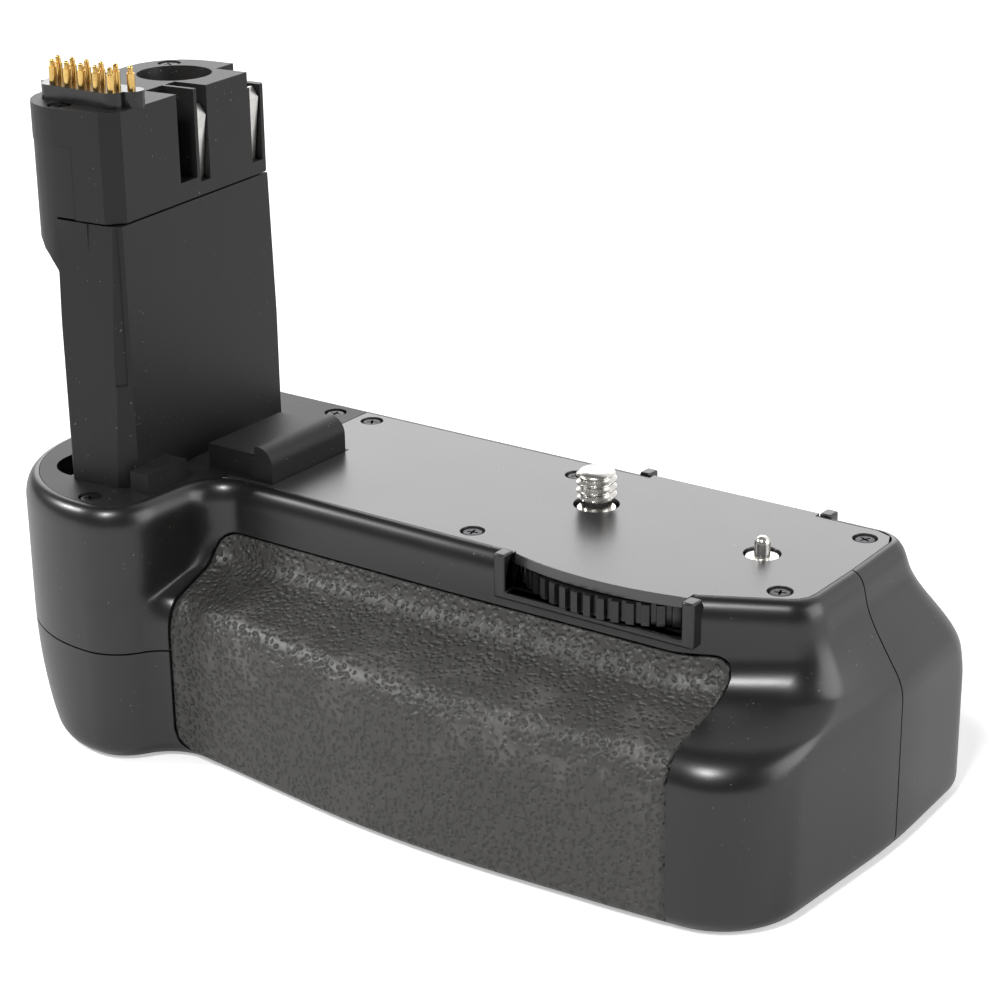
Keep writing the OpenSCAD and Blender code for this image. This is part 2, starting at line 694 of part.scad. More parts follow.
// Base of the tower: a cap in the lobe's rim, with the storage pocket, a hinge bar and a stop block
stop_block = [5, 9, 3.3];
bar_r = 2.8;
bar_block_h = 3.9;
bar_foot = 0.8;
bar_step = 2;
bar_face = concat([[-bar_w - bar_foot, 0], [0, 0]],
  [for (a = [0:10:90]) [-bar_r + bar_r * cos(a), bar_h - bar_r + bar_r * sin(a)]],
  [[-bar_w, bar_h], [-bar_w, bar_h - bar_step], [-bar_w - bar_foot, bar_h - bar_step]]);
module hinge_bar() translate([bar_x, bar_y[0] + bar_y[1], plate_z]) rotate([90, 0, 0])
  linear_extrude(bar_y[1]) polygon(bar_face);
module tower_base() color(black) {
  difference() {
    union() {
      translate([0, 0, plate_low]) linear_extrude(plate_t) union() {
        intersection() {
          rim_area();
          translate([cap_x - far, -far / 2]) square(far);
        }
        tongue(0);
      }
      in_tower() translate([0, 0, pocket_low - pocket_wall])
        linear_extrude(plate_low - pocket_low + pocket_wall + 0.2) pocket_area(pocket_wall);
      hinge_bar();
      translate([tower_x - 1.2, bar_y[0] + 0.6, plate_z - 0.2])
        cube([bar_x - bar_w - tower_x + 0.6, bar_y[1] - 0.6, bar_block_h + 0.2]);
      translate([lobe_right - rim_r - fit - stop_block[0], tower_y - 1.2, plate_z - 0.2])
        cube([stop_block[0], stop_block[1], stop_block[2] + 0.2]);
      for (p = cap_posts) rod(p, cap_post_r, board_top, plate_low + 0.2);
    }
    in_tower() translate([0, 0, pocket_low]) linear_extrude(far) pocket_area(0);
    in_tower() translate([0, 0, plate_z]) linear_extrude(far) column_room();
    in_tower() cable_room(far);
    for (p = base_spots) rod(p, shank_r + fit, 0, far);
    for (p = base_spots) rod(p, screw_head_r + fit, plate_z - screw_head_h - screw_sink, far);
  }
}
module column_room() translate([-column_t - 1, -2]) square([column_t + 1 + fit, tower_w + 4]);
cable_gap = 0.6;
module cable_room(h) translate([cable_w - cable_gap, cable_u[0] - cable_gap, 0])
  cube([cable_t + 2 * cable_gap, cable_u[1] + 2 * cable_gap, h]);
cap_post_r = 1.6;
cap_post_y = tower_y + tower_w - 4;
cap_posts = [[tower_x + 2, tower_y + 6], [tower_x - 0.5, cap_post_y], [tower_x - 9, cap_post_y]];

// Column of the tower: drafted sides, a groove in the front chamfer, and a bulge under the head
groove_w = 1.9;
groove_d = 0.35;
groove_h = 25.6;
module bulge_profile() polygon(concat(
  [for (t = [0:0.125:1]) [mix(-column_t, -tower_t, (1 - cos(180 * t)) / 2), bulge_low + bulge_h * t]],
  [[-tower_t, cheek_seam], [-cheek_w - fit, cheek_seam], [-cheek_w - fit, head_seam],
   [-cheek_w + 2, head_seam], [-cheek_w + 2, bulge_low]]));
module tower_column() color(satin) in_tower() difference() {
  union() {
    intersection() {
      translate([0, 0, plate_z]) linear_extrude(head_seam - plate_z) column_area();
      translate([-far / 2, 0, 0]) rotate([90, 0, 90]) linear_extrude(far)
        polygon([[-1.3, plate_z], [tower_w + 1.3, plate_z], [tower_w - 0.3, head_seam], [0.3, head_seam]]);
    }
    intersection() {
      translate([0, 0, bulge_low]) linear_extrude(cheek_seam - bulge_low) head_area(fit);
      translate([0, far / 2, 0]) rotate([90, 0, 0]) linear_extrude(far) bulge_profile();
    }
  }
  translate([channel_w[0], channel_u[0], plate_z - 1])
    cube([channel_w[1], channel_u[1], head_seam - plate_z + 2]);
  translate([0, front_chamfer - 1.3, head_seam - groove_h]) rotate(45)
    translate([-groove_w - 0.7, groove_d - 3, 0]) cube([groove_w, 3, far]);
}

module slot(s, low) translate([-slot_d, s[0], low]) cube([slot_d + 1, s[1], far]);
module tower_head() color(satin) difference() {
  in_tower() difference() {
    union() {
      translate([0, 0, cheek_seam]) linear_extrude(head_top - cheek_seam) head_area(0);
      translate([0, 0, head_seam]) linear_extrude(cheek_seam - head_seam + 0.2) intersection() {
        head_area(0);
        translate([-cheek_w, -1]) square([cheek_w + 1, tower_w + 2]);
      }
    }
    slot(blade_slot, slot_low);
    slot(empty_slot, slot_low + 0.9);
    slot(rear_slot, slot_low);
    translate([-slot_d, rear_slot[0] - 0.5, head_top - rear_step]) cube([slot_d + 1, 10, far]);
    translate([-well_w, well_u, head_top - well_h])
      cylinder(r1 = well_r - well_taper, r2 = well_r + 0.1, h = well_h + 0.5);
    for (p = head_spots) rod(p, screw_head_r + fit, head_top - sunk_head, far);
    for (p = head_spots) rod(p, shank_r + run, cheek_seam - 1, far);
    cable_room(head_top - block_tail);
  }
  translate([0, 0, head_top - block_tail]) linear_extrude(far) tail_area(fit);
  for (p = pin_spots) rod(p, barrel_r + fit, barrel_low, far);
}
head_spots = [[-11.5, 2.4], [-tower_t + 4.5, tower_w - 4.5]];
module head_screws() color(screw_black) in_tower()
  for (p = head_spots) screw_at(p, head_top - screw_sink, head_shank);

// Block of the contact pins: a plain tail in the head and a lobed rim above it
tail_size = [(front_pins - 1) * pin_pitch + 2.6, row_gap + 2.4];
module tail_area(g) translate([conn_x - 1.6 - g, conn_y - 1.2 - g])
  square([tail_size[0] + 2 * g, tail_size[1] + 2 * g]);
module block_area() {
  row_l = (front_pins - 1) * pin_pitch;
  for (p = pin_spots) translate(p) circle(r = block_edge);
  translate([conn_x, conn_y - block_edge]) square([row_l, 2 * block_edge]);
  translate([conn_x + row_shift, conn_y + row_gap - block_edge]) square([row_l, 2 * block_edge]);
  translate([conn_x + row_shift - block_edge + 0.4, conn_y]) square([row_l + 2 * block_edge, row_gap]);
}
module connector_block() color(black) difference() {
  union() {
    translate([0, 0, head_top - block_tail]) linear_extrude(block_tail + 0.1) tail_area(0);
    translate([0, 0, head_top]) linear_extrude(block_h) block_area();
  }
  for (p = pin_spots) rod(p, barrel_r + 0.02, barrel_low, far);
}
module pin_barrels() color(gold) for (p = pin_spots) difference() {
  rod(p, barrel_r, barrel_low, barrel_top);
  rod(p, bore_r, barrel_low + 0.3, far);
}
plunger_r = bore_r - run;
plunger_low = barrel_low + pin_travel + 0.5;
dome_z = barrel_top + pin_travel + tip_h - bore_r;
module pin_plungers() color(gold) for (p = pin_spots) translate([p[0], p[1], 0]) rotate_extrude()
  polygon(concat([[0, plunger_low], [plunger_r, plunger_low]],
    [for (a = [0:15:90]) [plunger_r * cos(a), dome_z + plunger_r * sin(a)]]));

// Spring blades in two of the head's slots
blade_w = 2.3;
blade_h = 12;
blade_knee = 10.3;
blade_t = 0.4;
blade_deep = [1.3, 0.15, 1.2];
blade_face = [[-blade_deep[0] - blade_t, 0], [-blade_deep[0], 0], [-blade_deep[1], blade_knee],
  [-blade_deep[2], blade_h], [-blade_deep[2] - blade_t, blade_h], [-blade_deep[1] - blade_t, blade_knee]];
module blade(s) in_tower() translate([0, s[0] + (s[1] + blade_w) / 2, slot_low]) rotate([90, 0, 0])
  linear_extrude(blade_w) polygon(blade_face);
module battery_blades() color(nickel) {
  blade(blade_slot);
  blade(rear_slot);
}

// Flat cable inside the tower, from the pin block down to the board
module tower_cable() color("#7a5a2a") in_tower() translate([cable_w, cable_u[0], board_top])
  cube([cable_t, cable_u[1], head_top - block_tail - board_top]);
board_in = 10;
board_w = 13.4;
board_l = tower_w - 1;
module circuit_board() color(board_green) translate([tower_x - board_in, tower_y + 1.5, board_top - board_t])
  cube([board_w, board_l, board_t]);

// Internal teeth of the wheel, as the space between them
function wheel_w(r) = (gear_m * PI / 4 - (r - wheel_pitch_r) * tan(pressure)) / r * 180 / PI;
function polar(r, a) = [r * cos(a), r * sin(a)];
function tooth_turn(i, n) = i * 360 / n + drive_turn + 180;
module wheel_tooth_space() polygon([for (i = [0:wheel_teeth - 1]) let(a = tooth_turn(i, wheel_teeth))
  each [for (q = [[wheel_tip_r, -1], [wheel_root_r, -1], [wheel_root_r, 1], [wheel_tip_r, 1]])
    polar(q[0], a + q[1] * wheel_w(q[0]))]]);
rib_share = 0.26;
rib_slant = 0.08;
module ribbed_area(n, r, h) {
  rib = [[r - h, -rib_share - rib_slant], [r, -rib_share], [r, rib_share], [r - h, rib_share + rib_slant]];
  polygon([for (i = [0:n - 1]) each [for (q = rib) polar(q[0], (i + q[1]) * 360 / n)]]);
}
module thumb_wheel() color(black) translate([wheel_x, wheel_y, wheel_low]) difference() {
  linear_extrude(wheel_h) ribbed_area(wheel_ribs, wheel_r, rib_h);
  translate([0, 0, -1]) linear_extrude(tooth_h + 1) wheel_tooth_space();
  cylinder(r = wheel_tip_r + run, h = far);
}
module wheel_hub() color(satin) difference() {
  rod([wheel_x, wheel_y], wheel_tip_r, hub_low, plate_low);
  rod([screw_x, screw_y], screw_neck_r + run, 0, far);
  rod([pin_x, pin_y], pin_r + 0.02, 0, far);
}

// Screw with its pinion, held in a bush by a clip
screw_shoulder = plate_z + 1.2;
tip_edge = 0.9;
screw_tip = plate_z + screw_reach;
collar_top = plate_z - 0.5;
screw_low = bracket_top - bracket_t - 1.6;
clip_t = 0.6;
clip_low = bracket_top - bracket_t - gap - clip_t;
module attachment_screw() color(nickel) translate([screw_x, screw_y, 0]) rotate_extrude()
  polygon([[0, screw_low], [screw_neck_r, screw_low], [screw_neck_r, plate_low + fit],
    [thread_r, plate_low + fit], [thread_r, collar_top], [screw_neck_r, collar_top],
    [screw_neck_r, screw_shoulder - 0.5],
    [thread_r, screw_shoulder], [thread_r, screw_tip - tip_edge],
    [thread_r - 0.7, screw_tip - 0.2], [thread_r - 1.3, screw_tip], [0, screw_tip]]);
function pinion_w(r) = (gear_m * PI / 4 - backlash - (r - pinion_pitch_r) * tan(pressure)) / r * 180 / PI;
pinion_root_r = pinion_pitch_r - 1.2 * gear_m;
pinion_tip_r = pinion_pitch_r + 0.85 * gear_m;
module screw_pinion() color(brass) translate([screw_x, screw_y, pinion_low]) difference() {
  linear_extrude(hub_low - gap - pinion_low)
    polygon([for (i = [0:pinion_teeth - 1]) let(a = tooth_turn(i, pinion_teeth))
      each [for (q = [[pinion_root_r, -1], [pinion_tip_r, -1], [pinion_tip_r, 1], [pinion_root_r, 1]])
        polar(q[0], a + q[1] * pinion_w(q[0]))]]);
  translate([0, 0, -1]) cylinder(r = screw_neck_r + 0.02, h = far);
}
bush_flange = [0.9, 0.6];
bracket_low = bracket_top - bracket_t;
module screw_bush() color(brass) difference() {
  union() {
    rod([screw_x, screw_y], bush_r, bracket_low, bracket_top);
    rod([screw_x, screw_y], bush_r + bush_flange[0], bracket_low - fit, bracket_low + bush_flange[1]);
  }
  rod([screw_x, screw_y], screw_neck_r + run, 0, far);
}
module screw_clip() color("#8a8a88") difference() {
  rod([screw_x, screw_y], screw_neck_r + 1.2, clip_low, clip_low + clip_t);
  rod([screw_x, screw_y], screw_neck_r + 0.02, 0, far);
}
pin_flange = 1.3;
module locating_pin() color(nickel) translate([pin_x, pin_y, 0]) rotate_extrude()
  polygon(concat([[0, hub_low + 0.3], [pin_r, hub_low + 0.3], [pin_r, plate_low],
    [pin_r + pin_flange, plate_low], [pin_r + pin_flange, plate_z - 0.4], [pin_r, plate_z - 0.4]],
    [for (a = [0:15:90]) [pin_r * cos(a), plate_z + pin_reach - pin_r + pin_r * sin(a)]]));
module drive_bracket() color(steel) difference() {
  union() {
    translate([0, 0, bracket_low]) linear_extrude(bracket_t) {
      polygon(bracket_spots);
      for (p = bracket_spots) translate(p) circle(r = post_r + 0.4);
    }
    for (p = bracket_spots) rod(p, post_r, bracket_top - 0.2, plate_low);
  }
  for (p = bracket_spots) rod(p, shank_r + run, 0, far);
  rod([screw_x, screw_y], bush_r + 0.02, 0, far);
  rod([screw_x, screw_y], bush_r + bush_flange[0] + 0.02, 0, bracket_low + bush_flange[1] + 0.02);
}

// Chamber for two batteries side by side, open to the rear
roll_front = roll_y - roll_r - gap;
roll_over = roll_z + roll_r + gap;
chamber_face = [[bay_front - bay_wall, bay_low - bay_wall], [roll_front, bay_low - bay_wall],
  [roll_front, roll_over], [bay_rear, roll_over], [bay_rear, bay_slope_z],
  [bay_corner_y, bay_top + bay_wall], [bay_front - bay_wall + bay_chamfer, bay_top + bay_wall],
  [bay_front - bay_wall, bay_top + bay_wall - bay_chamfer]];
bay_face = [[bay_front, bay_low], [bay_rear + 9, bay_low], [bay_rear + 9, bay_top],
  [bay_front + bay_chamfer, bay_top], [bay_front, bay_top - bay_chamfer]];
module along_bays(x0, x1, face) translate([x0, 0, 0]) rotate([90, 0, 90])
  linear_extrude(x1 - x0) polygon(face);
bay_mid = (bay_left + bay_right) / 2;
module battery_chamber() color("#26262a") difference() {
  union() {
    along_bays(bay_left - bay_wall, bay_right + bay_wall, chamber_face);
    for (x = post_x) for (y = post_y) rod([x, y], boss_r, wall, wall + post_h);
  }
  for (x = [[bay_left, bay_mid - bay_wall / 2], [bay_mid + bay_wall / 2, bay_right]])
    along_bays(x[0], x[1], bay_face);
  rod([screw_x, screw_y], tripod_body_r + fit, 0, tripod_top + gap);
  for (x = post_x) for (y = post_y) rod([x, y], shank_r + run, 0, wall + post_h - 1);
}
contact_w = 2.4;
contact_h = 10;
contact_out = 2;
contact_step = 6;
contact_spots = [for (b = [bay_left + bay_l / 4, bay_right - bay_l / 4])
  for (s = [-contact_step, contact_step]) b + s];
contact_face = [[0, 0], [0.5, 0], [contact_out, contact_h / 2], [0.5, contact_h], [0, contact_h],
  [0, contact_h - 0.6], [contact_out - 0.7, contact_h / 2], [0, 0.6]];
module bay_contacts() color(nickel) for (x = contact_spots)
  translate([x - contact_w / 2, bay_front, bay_low + contact_h / 2])
    rotate([90, 0, 90]) linear_extrude(contact_w) polygon(contact_face);
module chamber_screws() color(screw_black) for (x = post_x) for (y = post_y) {
  rod([x, y], screw_head_r, screw_sink, sunk_head);
  rod([x, y], shank_r, sunk_head, wall + post_h - 1.6);
}
module tripod_socket() color(nickel) difference() {
  union() {
    rod([screw_x, screw_y], tripod_body_r, 0.3, tripod_top);
    rod([screw_x, screw_y], tripod_flange_r, wall, bay_low - bay_wall);
  }
  rod([screw_x, screw_y], tripod_r, 0, far);
}

// Rear door on a rolled hinge edge, with a hook that the latch bolt slides behind
module along_x(p, r, x0, x1) translate([x0, p[0], p[1]]) rotate([0, 90, 0]) cylinder(r = r, h = x1 - x0);
module battery_door() color(black) difference() {
  union() {
    rear_strip(door_left + gap, door_right - gap, roll_z, door_top, 0, door_t);
    along_x([roll_y, roll_z], roll_r, door_left + gap, door_right - gap);
  }
  along_x([roll_y, roll_z], hinge_r + run, door_left, door_right);
}
keeper_y = bolt_y - bolt_r - gap;
keeper_z = latch_z + bolt_r + gap;
keeper_face = [[rear - door_t, keeper_z + keeper_t], [keeper_y - keeper_t, keeper_z + keeper_t],
  [keeper_y - keeper_t, latch_z - keeper_reach], [keeper_y, latch_z - keeper_reach], [keeper_y, keeper_z],
  [rear - door_t, keeper_z]];
module door_keeper() color(black) along_bays(door_left + gap, door_left + gap + keeper_l, keeper_face);
module hinge_pin() color(nickel)
  along_x([roll_y, roll_z], hinge_r, door_left - lug_l + pin_end, door_right + lug_l - pin_end);
module door_latch() color(black) {
  along_x([bolt_y, latch_z], bolt_r, latch_x - 3, door_left - 2 * gap);
  translate([latch_x - latch_neck[0] / 2, bolt_y, latch_z - latch_neck[1] / 2 + 0.05])
    cube([latch_neck[0], rear + 0.2 - bolt_y, latch_neck[1] - 0.1]);
  translate([latch_x - latch_cap[0] / 2, rear + 0.1, latch_z - latch_cap[1] / 2])
    cube([latch_cap[0], rear_proud - 0.1, latch_cap[1]]);
}

// Shutter button on the slanted corner, and its switch on a foot
shutter_low = -wall - 1 - flange_t;
module shutter_button() color(black) at_shutter() {
  translate([0, 0, shutter_low]) cylinder(r = shutter_r, h = shutter_proud - shutter_low);
  translate([0, 0, shutter_low]) cylinder(r = shutter_r + 0.8, h = flange_t);
}
switch_gap = flange_t + shutter_travel + 1.4;
switch_body = [6, 8, 3.4];
switch_foot = [5, 6, 9];
switch_in = 11.6;
module shutter_switch() color("#3a3f46") union() {
  at_shutter() translate([-switch_body[0] / 2, -switch_body[1] / 2, -wall - switch_gap - switch_body[2]])
    cube(switch_body);
  translate([left + switch_in, shutter_y - switch_foot[1] / 2, wall]) cube(switch_foot);
}

module along_y(p, r, y0, y1) translate([p[0], y0, p[1]]) rotate([-90, 0, 0]) cylinder(r = r, h = y1 - y0);
grip_h = 0.7;
module main_dial() color(black) translate([dial_x, dial_y + dial_w / 2, dial_z]) rotate([90, 0, 0])
  difference() {
    linear_extrude(dial_w) ribbed_area(dial_ribs, dial_r, grip_h);
    translate([0, 0, -1]) cylinder(r = axle_r + run, h = dial_w + 2);
  }
axle_half = dial_w / 2 + gap + cheek_t;
module dial_axle() color(nickel)
  along_y([dial_x, dial_z], axle_r, dial_y - axle_half, dial_y + axle_half);
cheek_r = 3.2;
web_t = 1.8;
module dial_bracket() color(steel) difference() {
  union() {
    for (y = [dial_y - axle_half, dial_y + axle_half - cheek_t]) {
      along_y([dial_x, dial_z], cheek_r, y, y + cheek_t);
      translate([dial_x, y, dial_z - cheek_r]) cube([dial_r + gap + web_t, cheek_t, 2 * cheek_r]);
    }
    translate([dial_x + dial_r + gap, dial_y - axle_half, wall])
      cube([web_t, 2 * axle_half, dial_z + cheek_r - wall]);
  }
  along_y([dial_x, dial_z], axle_r + 0.02, dial_y - far, dial_y + far);
}

// Rear buttons and power switch on the upright part of the rear face
button_low = -wall - gap - flange_t;
module rear_button(x) at_rear(x, control_z) translate([0, 0, button_low]) {
  cylinder(r = button_r, h = rear_proud - button_low);
  cylinder(r = button_r + 0.6, h = flange_t);
}
module lock_button() color(black) rear_button(lock_x);
module point_button() color(black) rear_button(point_x);
switch_shaft_r = 1.5;
module power_switch() color(black) at_rear(switch_x, switch_z) {
  translate([0, 0, button_low]) cylinder(r = switch_shaft_r, h = 0.2 - button_low);
  translate([0, 0, button_low]) cylinder(r = switch_shaft_r + 1, h = flange_t);
  translate([0, 0, 0.1]) cylinder(r = switch_r, h = rear_proud - 0.1);
}
key_board = [18, 17];
module button_board() color(board_green) translate([lock_x - 5, board_y - board_t, switch_z - 2])
  cube([key_board[0], board_t, key_board[1]]);

front_shell();
rear_shell();
shutter_housing();
front_rubber();
thumb_rubber();
top_plate();
plate_screws();
base_screws();
tower_base();
tower_column();
tower_head();
head_screws();
connector_block();
pin_barrels();
pin_plungers();
battery_blades();
tower_cable();
circuit_board();
thumb_wheel();
wheel_hub();
attachment_screw();
screw_pinion();
screw_bush();
screw_clip();
locating_pin();
drive_bracket();
battery_chamber();
bay_contacts();
chamber_screws();
tripod_socket();
battery_door();
door_keeper();
hinge_pin();
door_latch();
shutter_button();
shutter_switch();
main_dial();
dial_axle();
dial_bracket();
lock_button();
point_button();
power_switch();
button_board();
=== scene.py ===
import bpy
import json
import math
import numpy as np
from mathutils import Matrix, Vector
from types import SimpleNamespace


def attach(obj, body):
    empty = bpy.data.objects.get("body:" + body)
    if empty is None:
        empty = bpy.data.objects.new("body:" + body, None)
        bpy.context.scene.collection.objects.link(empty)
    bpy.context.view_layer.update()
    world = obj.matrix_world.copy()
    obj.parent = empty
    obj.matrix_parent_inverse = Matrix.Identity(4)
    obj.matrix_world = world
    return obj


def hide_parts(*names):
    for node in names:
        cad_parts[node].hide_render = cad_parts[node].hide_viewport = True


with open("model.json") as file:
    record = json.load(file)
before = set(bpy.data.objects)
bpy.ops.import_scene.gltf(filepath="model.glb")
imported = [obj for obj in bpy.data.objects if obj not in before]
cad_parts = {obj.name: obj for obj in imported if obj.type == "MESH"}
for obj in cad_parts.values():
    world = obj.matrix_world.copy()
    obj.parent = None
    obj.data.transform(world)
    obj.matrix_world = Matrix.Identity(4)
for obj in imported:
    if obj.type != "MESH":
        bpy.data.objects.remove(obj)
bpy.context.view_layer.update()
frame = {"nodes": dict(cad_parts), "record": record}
mm = 0.001
print("frame loaded:", len(frame["nodes"]), "nodes")


# camera at the photograph's place
view = dict(place=(212.72, -289.70, 183.20), azimuth=-35.34, dip=21.35, roll=-0.638, lens=89.866)


def addCamera():
    az, el, ro = (math.radians(view[k]) for k in ("azimuth", "dip", "roll"))
    ahead = Vector((math.sin(az) * math.cos(el), math.cos(az) * math.cos(el), -math.sin(el)))
    right = Vector((math.cos(az), -math.sin(az), 0))
    up = right.cross(ahead)
    r2 = right * math.cos(ro) + up * math.sin(ro)
    u2 = up * math.cos(ro) - right * math.sin(ro)
    data = bpy.data.cameras.new("photoCamera")
    data.sensor_width, data.lens, data.clip_start = 36, view["lens"], 0.01
    cam = bpy.data.objects.new("photoCamera", data)
    bpy.context.scene.collection.objects.link(cam)
    turn = Matrix((r2, u2, -ahead)).transposed()
    cam.matrix_world = Matrix.Translation(Vector(view["place"]) * mm) @ turn.to_4x4()
    bpy.context.scene.camera = cam


addCamera()
bpy.context.scene.view_settings.view_transform = "Standard"
print("camera set")


# shader maths: a wire is a socket that can be added, multiplied and so on
class Wire:
    def __init__(self, tree, socket=None):
        self.tree, self.socket = tree, socket

    def node(self, kind, settings=None, values=None, out=0):
        made = self.tree.nodes.new(kind)
        for key, value in (settings or {}).items():
            setattr(made, key, value)
        for key, value in (values or {}).items():
            if isinstance(value, Wire):
                self.tree.links.new(value.socket, made.inputs[key])
            else:
                made.inputs[key].default_value = value
        return Wire(self.tree, made.outputs[out])

    def maths(self, operation, a, b):
        return self.node("ShaderNodeMath", {"operation": operation}, {0: a, 1: b})

    def __add__(self, other):
        return self.maths("ADD", self, other)

    __radd__ = __add__

    def __sub__(self, other):
        return self.maths("SUBTRACT", self, other)

    def __rsub__(self, other):
        return self.maths("SUBTRACT", other, self)

    def __mul__(self, other):
        return self.maths("MULTIPLY", self, other)

    def clamp(self):
        return self.node("ShaderNodeClamp", None, {"Value": self})

    def between(self, low, high):
        return self.node("ShaderNodeMapRange", {"interpolation_type": "SMOOTHSTEP"},
                         {"Value": self, "From Min": low, "From Max": high})

    def tint(self, dark, light):
        return self.node("ShaderNodeMix", {"data_type": "RGBA"},
                         {"Factor": self, 6: (*dark, 1), 7: (*light, 1)}, 2)


class Finish:
    def __init__(self, name, **constants):
        self.material = bpy.data.materials.new(name)
        self.material.use_nodes = True
        self.tree = self.material.node_tree
        self.shader = self.tree.nodes["Principled BSDF"]
        for key, value in constants.items():
            self.shader.inputs[key.replace("_", " ")].default_value = value
        self.start = Wire(self.tree)
        self.coords = self.start.node("ShaderNodeTexCoord", out="Object")

    def noise(self, size, detail=3, rough=0.5, warp=0):
        return self.start.node("ShaderNodeTexNoise", None, {"Vector": self.coords, "Scale": 1 / (size * mm),
                               "Detail": detail, "Roughness": rough, "Distortion": warp})

    def cells(self, size, coords):
        values = {"Vector": coords, "Scale": 1 / (size * mm), "Randomness": 1}
        return self.start.node("ShaderNodeTexVoronoi", {"feature": "SMOOTH_F1"}, values)

    def join(self, **wires):
        for key, wire in wires.items():
            self.tree.links.new(wire.socket, self.shader.inputs[key.replace("_", " ")])

    def bump(self, height, depth):
        values = {"Height": height, "Distance": depth * mm, "Strength": 1}
        self.join(Normal=self.start.node("ShaderNodeBump", None, values))


def makeShellFinish(name, tone, shine, vary, grainDepth, gloss=0.5):
    f = Finish(name, Specular_IOR_Level=gloss)
    cloud = f.noise(14, 4, 0.6)
    grain = f.noise(0.3, 2, 0.6)
    speck = f.noise(0.4, 1, 0.5).between(0.745, 0.765) * f.noise(6, 2).between(0.52, 0.62)
    f.join(Base_Color=(speck * 0.7).tint(tone, (0.34, 0.32, 0.29)))
    f.join(Roughness=cloud * vary + (shine - vary / 2) + speck * 0.3 + grain * 0.05)
    f.bump(grain, grainDepth)
    return f.material


def makeRubberFinish():
    f = Finish("grainedRubber", Specular_IOR_Level=0.5)
    drift = f.start.node("ShaderNodeTexNoise", None, {"Vector": f.coords, "Scale": 650, "Detail": 1}, 1)
    slide = f.start.node("ShaderNodeVectorMath", {"operation": "MULTIPLY_ADD"},
                         {0: drift, 1: (0.0007, 0.0007, 0.0007), 2: f.coords})
    ridge = f.cells(0.8, slide).between(0.06, 0.55)
    fine = f.noise(0.25, 3, 0.6)
    cloud = f.noise(18, 4, 0.6)
    height = f.start.node("ShaderNodeSeparateXYZ", None, {"Vector": f.coords}, "Z")
    # a band across the nose bend, z 15 to 31 mm, with pale marks on the grain's ridge tops: partly real
    # scuffs, partly painted highlight where the lamps catch the bend
    bendWearAndGlint = height.between(0.015, 0.023) * (1 - height.between(0.026, 0.031))
    scuffAndGlint = f.noise(9, 4, 0.7, 0.4).between(0.47, 0.68) * ridge.between(0.45, 0.9) * (bendWearAndGlint * 0.85 + 0.15)
    speck = f.noise(0.6, 2, 0.8).between(0.76, 0.79)
    # ridge * 0.035 makes the grain's ridge tops paler and its pits darker: painted shade in the pits
    pale = (scuffAndGlint * 0.2 + speck * 0.5 + cloud * 0.05 + ridge * 0.035).clamp()
    f.join(Base_Color=pale.tint((0.033, 0.0322, 0.0305), (0.3, 0.292, 0.28)))
    f.join(Roughness=0.4 + cloud * 0.04 + (1 - ridge) * 0.12)
    f.bump(ridge * 0.93 + fine * 0.07, 0.28)
    return f.material


def makeMetalFinish(name, tone, shine, vary):
    f = Finish(name, Metallic=1.0)
    smear = f.noise(2.4, 4, 0.6)
    fine = f.noise(0.12, 2, 0.5)
    dull = tuple(0.72 * c for c in tone)
    f.join(Base_Color=smear.between(0.35, 0.8).tint(tone, dull))
    f.join(Roughness=shine + smear * vary + fine * 0.05)
    f.bump(fine, 0.004)
    return f.material


def makePlainFinish(name, tone, light, shine):
    f = Finish(name)
    cloud = f.noise(3, 4, 0.6)
    f.join(Base_Color=cloud.between(0.3, 0.8).tint(tone, light))
    f.join(Roughness=shine + cloud * 0.15)
    f.bump(f.noise(0.3, 2), 0.01)
    return f.material


finishes = dict(
    housing=makeShellFinish("satinShell", (0.0065, 0.0061, 0.006), 0.29, 0.05, 0.003, 0.72),
    plate=makeShellFinish("satinPlate", (0.03, 0.029, 0.031), 0.27, 0.04, 0.002, 1.0),
    tower=makeShellFinish("matteTower", (0.012, 0.0116, 0.0115), 0.44, 0.06, 0.006, 0.34),
    controls=makeShellFinish("glossControls", (0.012, 0.012, 0.012), 0.2, 0.06, 0.002),
    inner_plastic=makeShellFinish("plainInner", (0.02, 0.02, 0.02), 0.5, 0.1, 0.006),
    rubber=makeRubberFinish(),
    bright_metal=makeMetalFinish("nickelBright", (0.80, 0.78, 0.74), 0.16, 0.14),
    contact_nickel=makeMetalFinish("springNickel", (0.78, 0.77, 0.74), 0.2, 0.15),
    contact_gold=makeMetalFinish("contactGold", (0.80, 0.53, 0.18), 0.13, 0.12),
    brass_work=makeMetalFinish("turnedBrass", (0.72, 0.58, 0.32), 0.3, 0.2),
    inner_steel=makeMetalFinish("plainSteel", (0.5, 0.5, 0.5), 0.35, 0.2),
    black_screws=makeMetalFinish("blackScrew", (0.06, 0.06, 0.065), 0.3, 0.2),
    flat_cable=makePlainFinish("amberFilm", (0.3, 0.17, 0.05), (0.4, 0.24, 0.08), 0.35),
    board=makePlainFinish("greenBoard", (0.02, 0.09, 0.035), (0.035, 0.13, 0.05), 0.4))
slotOf = {s["node"]: s["material_slot"] for s in frame["record"]["subparts"]}
bodyOf = {n: b for b, ns in frame["record"]["behaviour"]["bodies"].items() for n in ns}
for name, part in frame["nodes"].items():
    part.data.materials.clear()
    part.data.materials.append(finishes[slotOf[name]])
print("finishes made:", len(finishes))


# small helpers for modelling
def deselect():
    if bpy.context.object and bpy.context.object.mode != "OBJECT":
        bpy.ops.object.mode_set(mode="OBJECT")
    bpy.ops.object.select_all(action="DESELECT")


def activate(part):
    deselect()
    part.select_set(True)
    bpy.context.view_layer.objects.active = part


def meshPart(name, points, faces):
    mesh = bpy.data.meshes.new(name)
    mesh.from_pydata([tuple(float(c) * mm for c in p) for p in points], [], faces)
    part = bpy.data.objects.new(name, mesh)
    bpy.context.scene.collection.objects.link(part)
    return part


